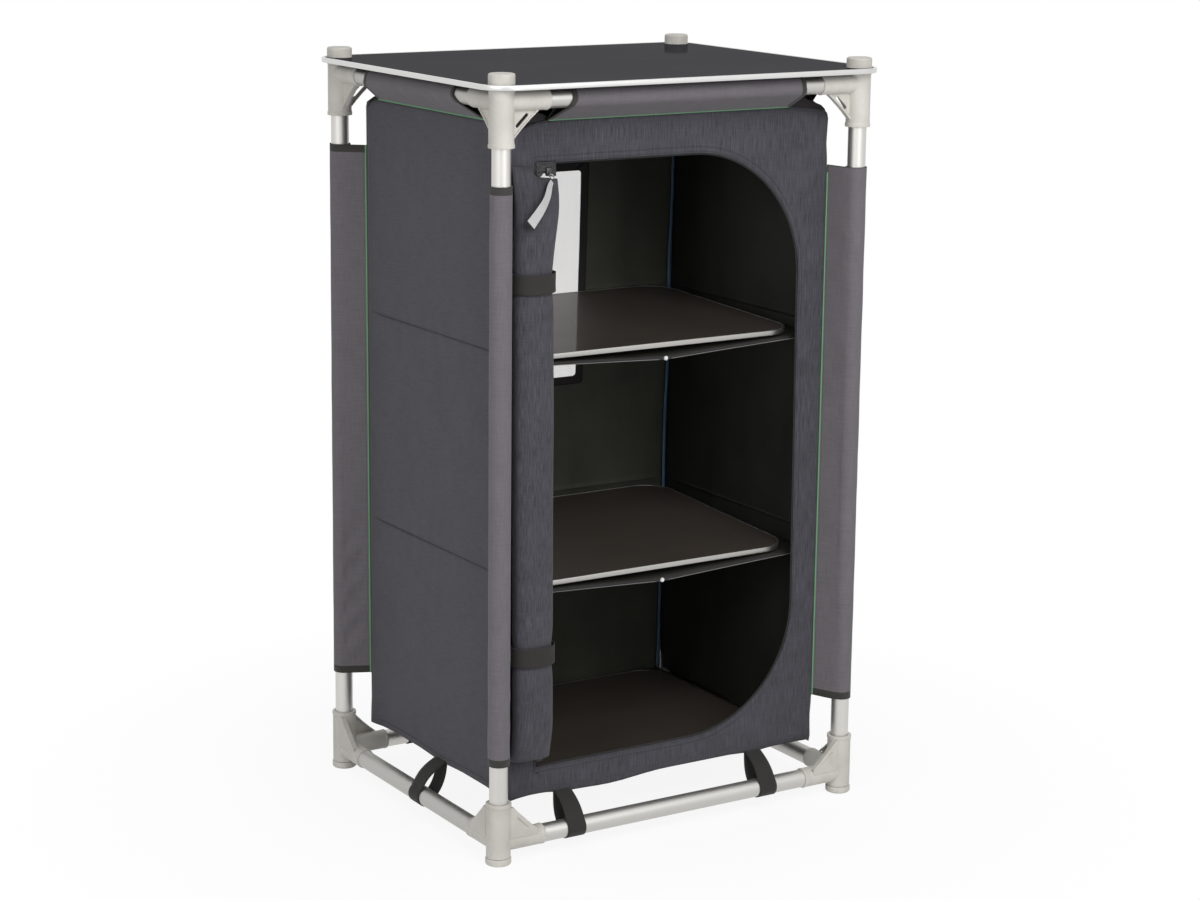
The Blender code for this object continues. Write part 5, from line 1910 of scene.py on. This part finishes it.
for seed, name in ((71.0, "upper"), (73.0, "middle")):
    shelf_cloth(name, seed)
    shelf_hem(name)
print("2 shelf cloths")

# %% [markdown]
# Six elastic loops of webbing are sewn under the body's hem and go round the bottom rails. They
# stretch when the top frame lifts; here each one is made in place and rides on no body.

# %% Bottom loops
LOOP_SEAM_Z, LOOP_WIDE = 0.0765, 0.028


def bottom_loop(name, along_x, sign, place_at, seed):
    rail_off, hem_off = (POST.y, HALF_DEPTH[0]) if along_x else (POST.x, HALF_WIDTH[0])
    path = teardrop_path((rail_off, LOW_RAIL_Z), (hem_off - 0.0024, LOOP_SEAM_Z), slack=0.0055)
    runs = [round(r, 6) for r in path_lengths(path)]

    def place(u, v):
        out, z = path[nearest(runs, v)]
        high = smooth(LOW_RAIL_Z + 0.008, 0.075, z)
        along = place_at + u * (1 - 0.10 * high * math.sin(seed)) + 0.0012 * high * math.sin(seed * 3)
        return Vector((along, sign * out, z)) if along_x else Vector((sign * out, along, z))

    bm = cloth(grid_lines(-LOOP_WIDE / 2, LOOP_WIDE / 2, 0.0035), runs, place)
    relaid(bm, lambda u, v: (v, u))
    faced(bm, (0, 0, -1))
    made = piece(f"bottom_strap_{name}_loop", bm, [WEBBING], None, [f"bottom_strap_{name}"])
    thick(made, 0.0011)
    keep_shape(made)
    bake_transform(made)
    return made


LOOPS = [(f"{face}_{end}", True, sign, x) for face, _, sign in SIDES[:2]
         for end, x in zip(("left", "right"), FRONT_LOOPS)]
LOOPS += [(face, False, sign, SIDE_LOOPS[0]) for face, _, sign in SIDES[2:]]
for seed, (name, along_x, sign, at) in enumerate(LOOPS):
    bottom_loop(name, along_x, sign, at, seed + 1.0)
print(len(LOOPS), "loops")

# %% [markdown]
# The zip is open, so one row of its coil still runs along the opening's edge, and the slider waits
# at the upper left with a puller: a metal loop and a woven tag.

# %% Slider and puller
PULL_Z = 0.9130
TAG_WIDE = 0.0180
TAG_ROUTE = ((-0.0016, -0.0045, -0.0080), (-0.0070, -0.0087, -0.0130), (-0.0174, -0.0187, -0.0268),
             (-0.0329, -0.0297, -0.0399), (-0.0533, -0.0367, -0.0583))


def slider():
    low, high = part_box("zip_slider")
    centre, span = (low + high) / 2, high - low
    front_y = high.y - 0.004
    plate, bridge = bmesh.new(), bmesh.new()
    block(plate, (centre.x, high.y - 0.002, centre.z), (span.x, 0.0040, span.z))
    ease_edges(plate, 0.0011, 3)
    block(bridge, (centre.x, front_y - 0.0009, PULL_Z), (0.0026, 0.0022, 0.0062))
    ease_edges(bridge, 0.0006)
    return piece("zip_slider_body", merged(plate, bridge), [DARK_METAL], "zip_slider", ["zip_slider"])


def puller():
    hinge = Vector((middle("zip_slider").x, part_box("zip_slider")[1].y - 0.0080, PULL_Z))
    route = [hinge + Vector(p) for p in TAG_ROUTE]

    def spot(v):
        """A point of the soft curve through the route."""
        share = min(0.9999, v) * (len(route) - 1)
        i = int(share)
        p = [route[max(0, min(len(route) - 1, i + k))] for k in (-1, 0, 1, 2)]
        t = share - i
        return 0.5 * (2 * p[1] + (p[2] - p[0]) * t + (2 * p[0] - 5 * p[1] + 4 * p[2] - p[3]) * t ** 2
                      + (3 * p[1] - p[0] - 3 * p[2] + p[3]) * t ** 3)

    def place(u, v):
        here, ahead = spot(v), spot(min(1.0, v + 0.02))
        behind = spot(max(0.0, v - 0.02))
        way = (ahead - behind).normalized()
        side = way.cross(Vector((0, 1, 0))).normalized()
        neck = 0.42 + 0.58 * v ** 1.2
        return here + side * u * neck

    bm = cloth(grid_lines(-TAG_WIDE / 2, TAG_WIDE / 2, 0.0013), [i / 40 for i in range(41)], place)
    marked(bm, 1, lambda u, v: abs(u) > TAG_WIDE / 2 - 0.0014 or v > 0.97)
    made = piece("zip_pull_tag", bm, [TAG_WEAVE, TAG_EDGE], "zip_pull", ["zip_pull"])
    thick(made, 0.0011, offset=0.0)
    ring_middle = hinge + Vector((-0.0006, -0.0022, -0.0016))
    place_ring = Matrix.Translation(ring_middle) @ Matrix.Rotation(math.radians(-38), 4, "X")
    turns = [math.tau * i / 28 for i in range(29)]
    ring = [place_ring @ Vector((0.0028 * math.cos(a), 0, 0.0034 * math.sin(a))) for a in turns]
    piece("zip_pull_ring", beads([ring], 0.0006), [BRIGHT_METAL], "zip_pull")
    return made


slider()
puller()
print("slider and puller")

# %% [markdown]
# A plain white floor and soft light from four large panels: a wide one at the left, one high in
# front, a low one in front that reaches under the tabletop, and a faint one above. The world is a
# pale even grey that fills the shadows. The floor, and what metal mirrors, is white by its own glow,
# so that no lamp has to bleach the cloth.

# %% Stage and lights
def white_to_the_camera(tree, shader, near=1.0):
    """Mixes pure white over a shader for camera, mirror and glass rays. near is its share."""
    white = tree.nodes.new("ShaderNodeEmission")
    rays = tree.nodes.new("ShaderNodeLightPath")
    seen = rays.outputs["Is Camera Ray"]
    for ray in ("Is Glossy Ray", "Is Transmission Ray"):
        add = tree.nodes.new("ShaderNodeMath")
        add.operation, add.use_clamp = "ADD", True
        tree.links.new(seen, add.inputs[0])
        tree.links.new(rays.outputs[ray], add.inputs[1])
        seen = add.outputs[0]
    share = tree.nodes.new("ShaderNodeMath")
    share.operation = "MULTIPLY"
    tree.links.new(seen, share.inputs[0])
    if isinstance(near, Wire):
        tree.links.new(near.socket, share.inputs[1])
    else:
        share.inputs[1].default_value = near
    mix = tree.nodes.new("ShaderNodeMixShader")
    tree.links.new(share.outputs[0], mix.inputs[0])
    tree.links.new(shader, mix.inputs[1])
    tree.links.new(white.outputs[0], mix.inputs[2])
    return mix.outputs[0]


def floor_paint():
    """Pale paint whose shadow fades to plain white away from the cupboard."""
    fixed = {"Base Color": (0.9, 0.9, 0.9, 1), "Roughness": 0.9, "Specular IOR Level": 0.1}
    made = Finish("floor_paint", fixed)
    away = made.node("ShaderNodeVectorMath", {"operation": "LENGTH"}, {0: made.place()}, output=1)
    white = 0.90 + 0.10 * away.ramp(0.3, 0.9)
    surface = white_to_the_camera(made.tree, made.shader.outputs[0], white)
    made.tree.links.new(surface, made.tree.nodes["Material Output"].inputs["Surface"])
    return made.material


def add_floor():
    bm = bmesh.new()
    bmesh.ops.create_grid(bm, x_segments=1, y_segments=1, size=12.0)
    floor = bpy.data.objects.new("floor", mesh_of(bm))
    floor.data.materials.append(floor_paint())
    floor.location.z = -0.0004
    bpy.context.scene.collection.objects.link(floor)


def add_light(name, place, target, size_x, size_y, power):
    light = bpy.data.lights.new(name, "AREA")
    light.shape, light.size, light.size_y, light.energy = "RECTANGLE", size_x, size_y, power
    lamp = bpy.data.objects.new(name, light)
    way = Vector(target) - Vector(place)
    lamp.matrix_world = Matrix.Translation(place) @ way.to_track_quat("-Z", "Y").to_matrix().to_4x4()
    bpy.context.scene.collection.objects.link(lamp)


def add_world():
    world = bpy.data.worlds.new("studio")
    bpy.context.scene.world = world
    world.use_nodes = True
    tree = world.node_tree
    background = tree.nodes["Background"]
    background.inputs["Color"].default_value = (0.97, 0.98, 1.0, 1)
    background.inputs["Strength"].default_value = 0.40
    surface = white_to_the_camera(tree, background.outputs[0])
    tree.links.new(surface, tree.nodes["World Output"].inputs["Surface"])


add_floor()
add_light("left", (-3.2, -1.6, 1.8), (0, 0, 0.6), 2.0, 2.0, 27)
add_light("front", (-0.3, -2.3, 2.4), (0, 0, 0.8), 1.6, 1.2, 32)
add_light("low_front", (0.1, -2.2, 1.25), (0, 0, 0.75), 1.0, 0.8, 8.5)
add_light("top", (0.2, 0.2, 3.4), (0, 0, 0.6), 2.0, 2.0, 4)
add_world()
bpy.context.scene.view_settings.view_transform = "Standard"
print("floor, 4 lights and the world")
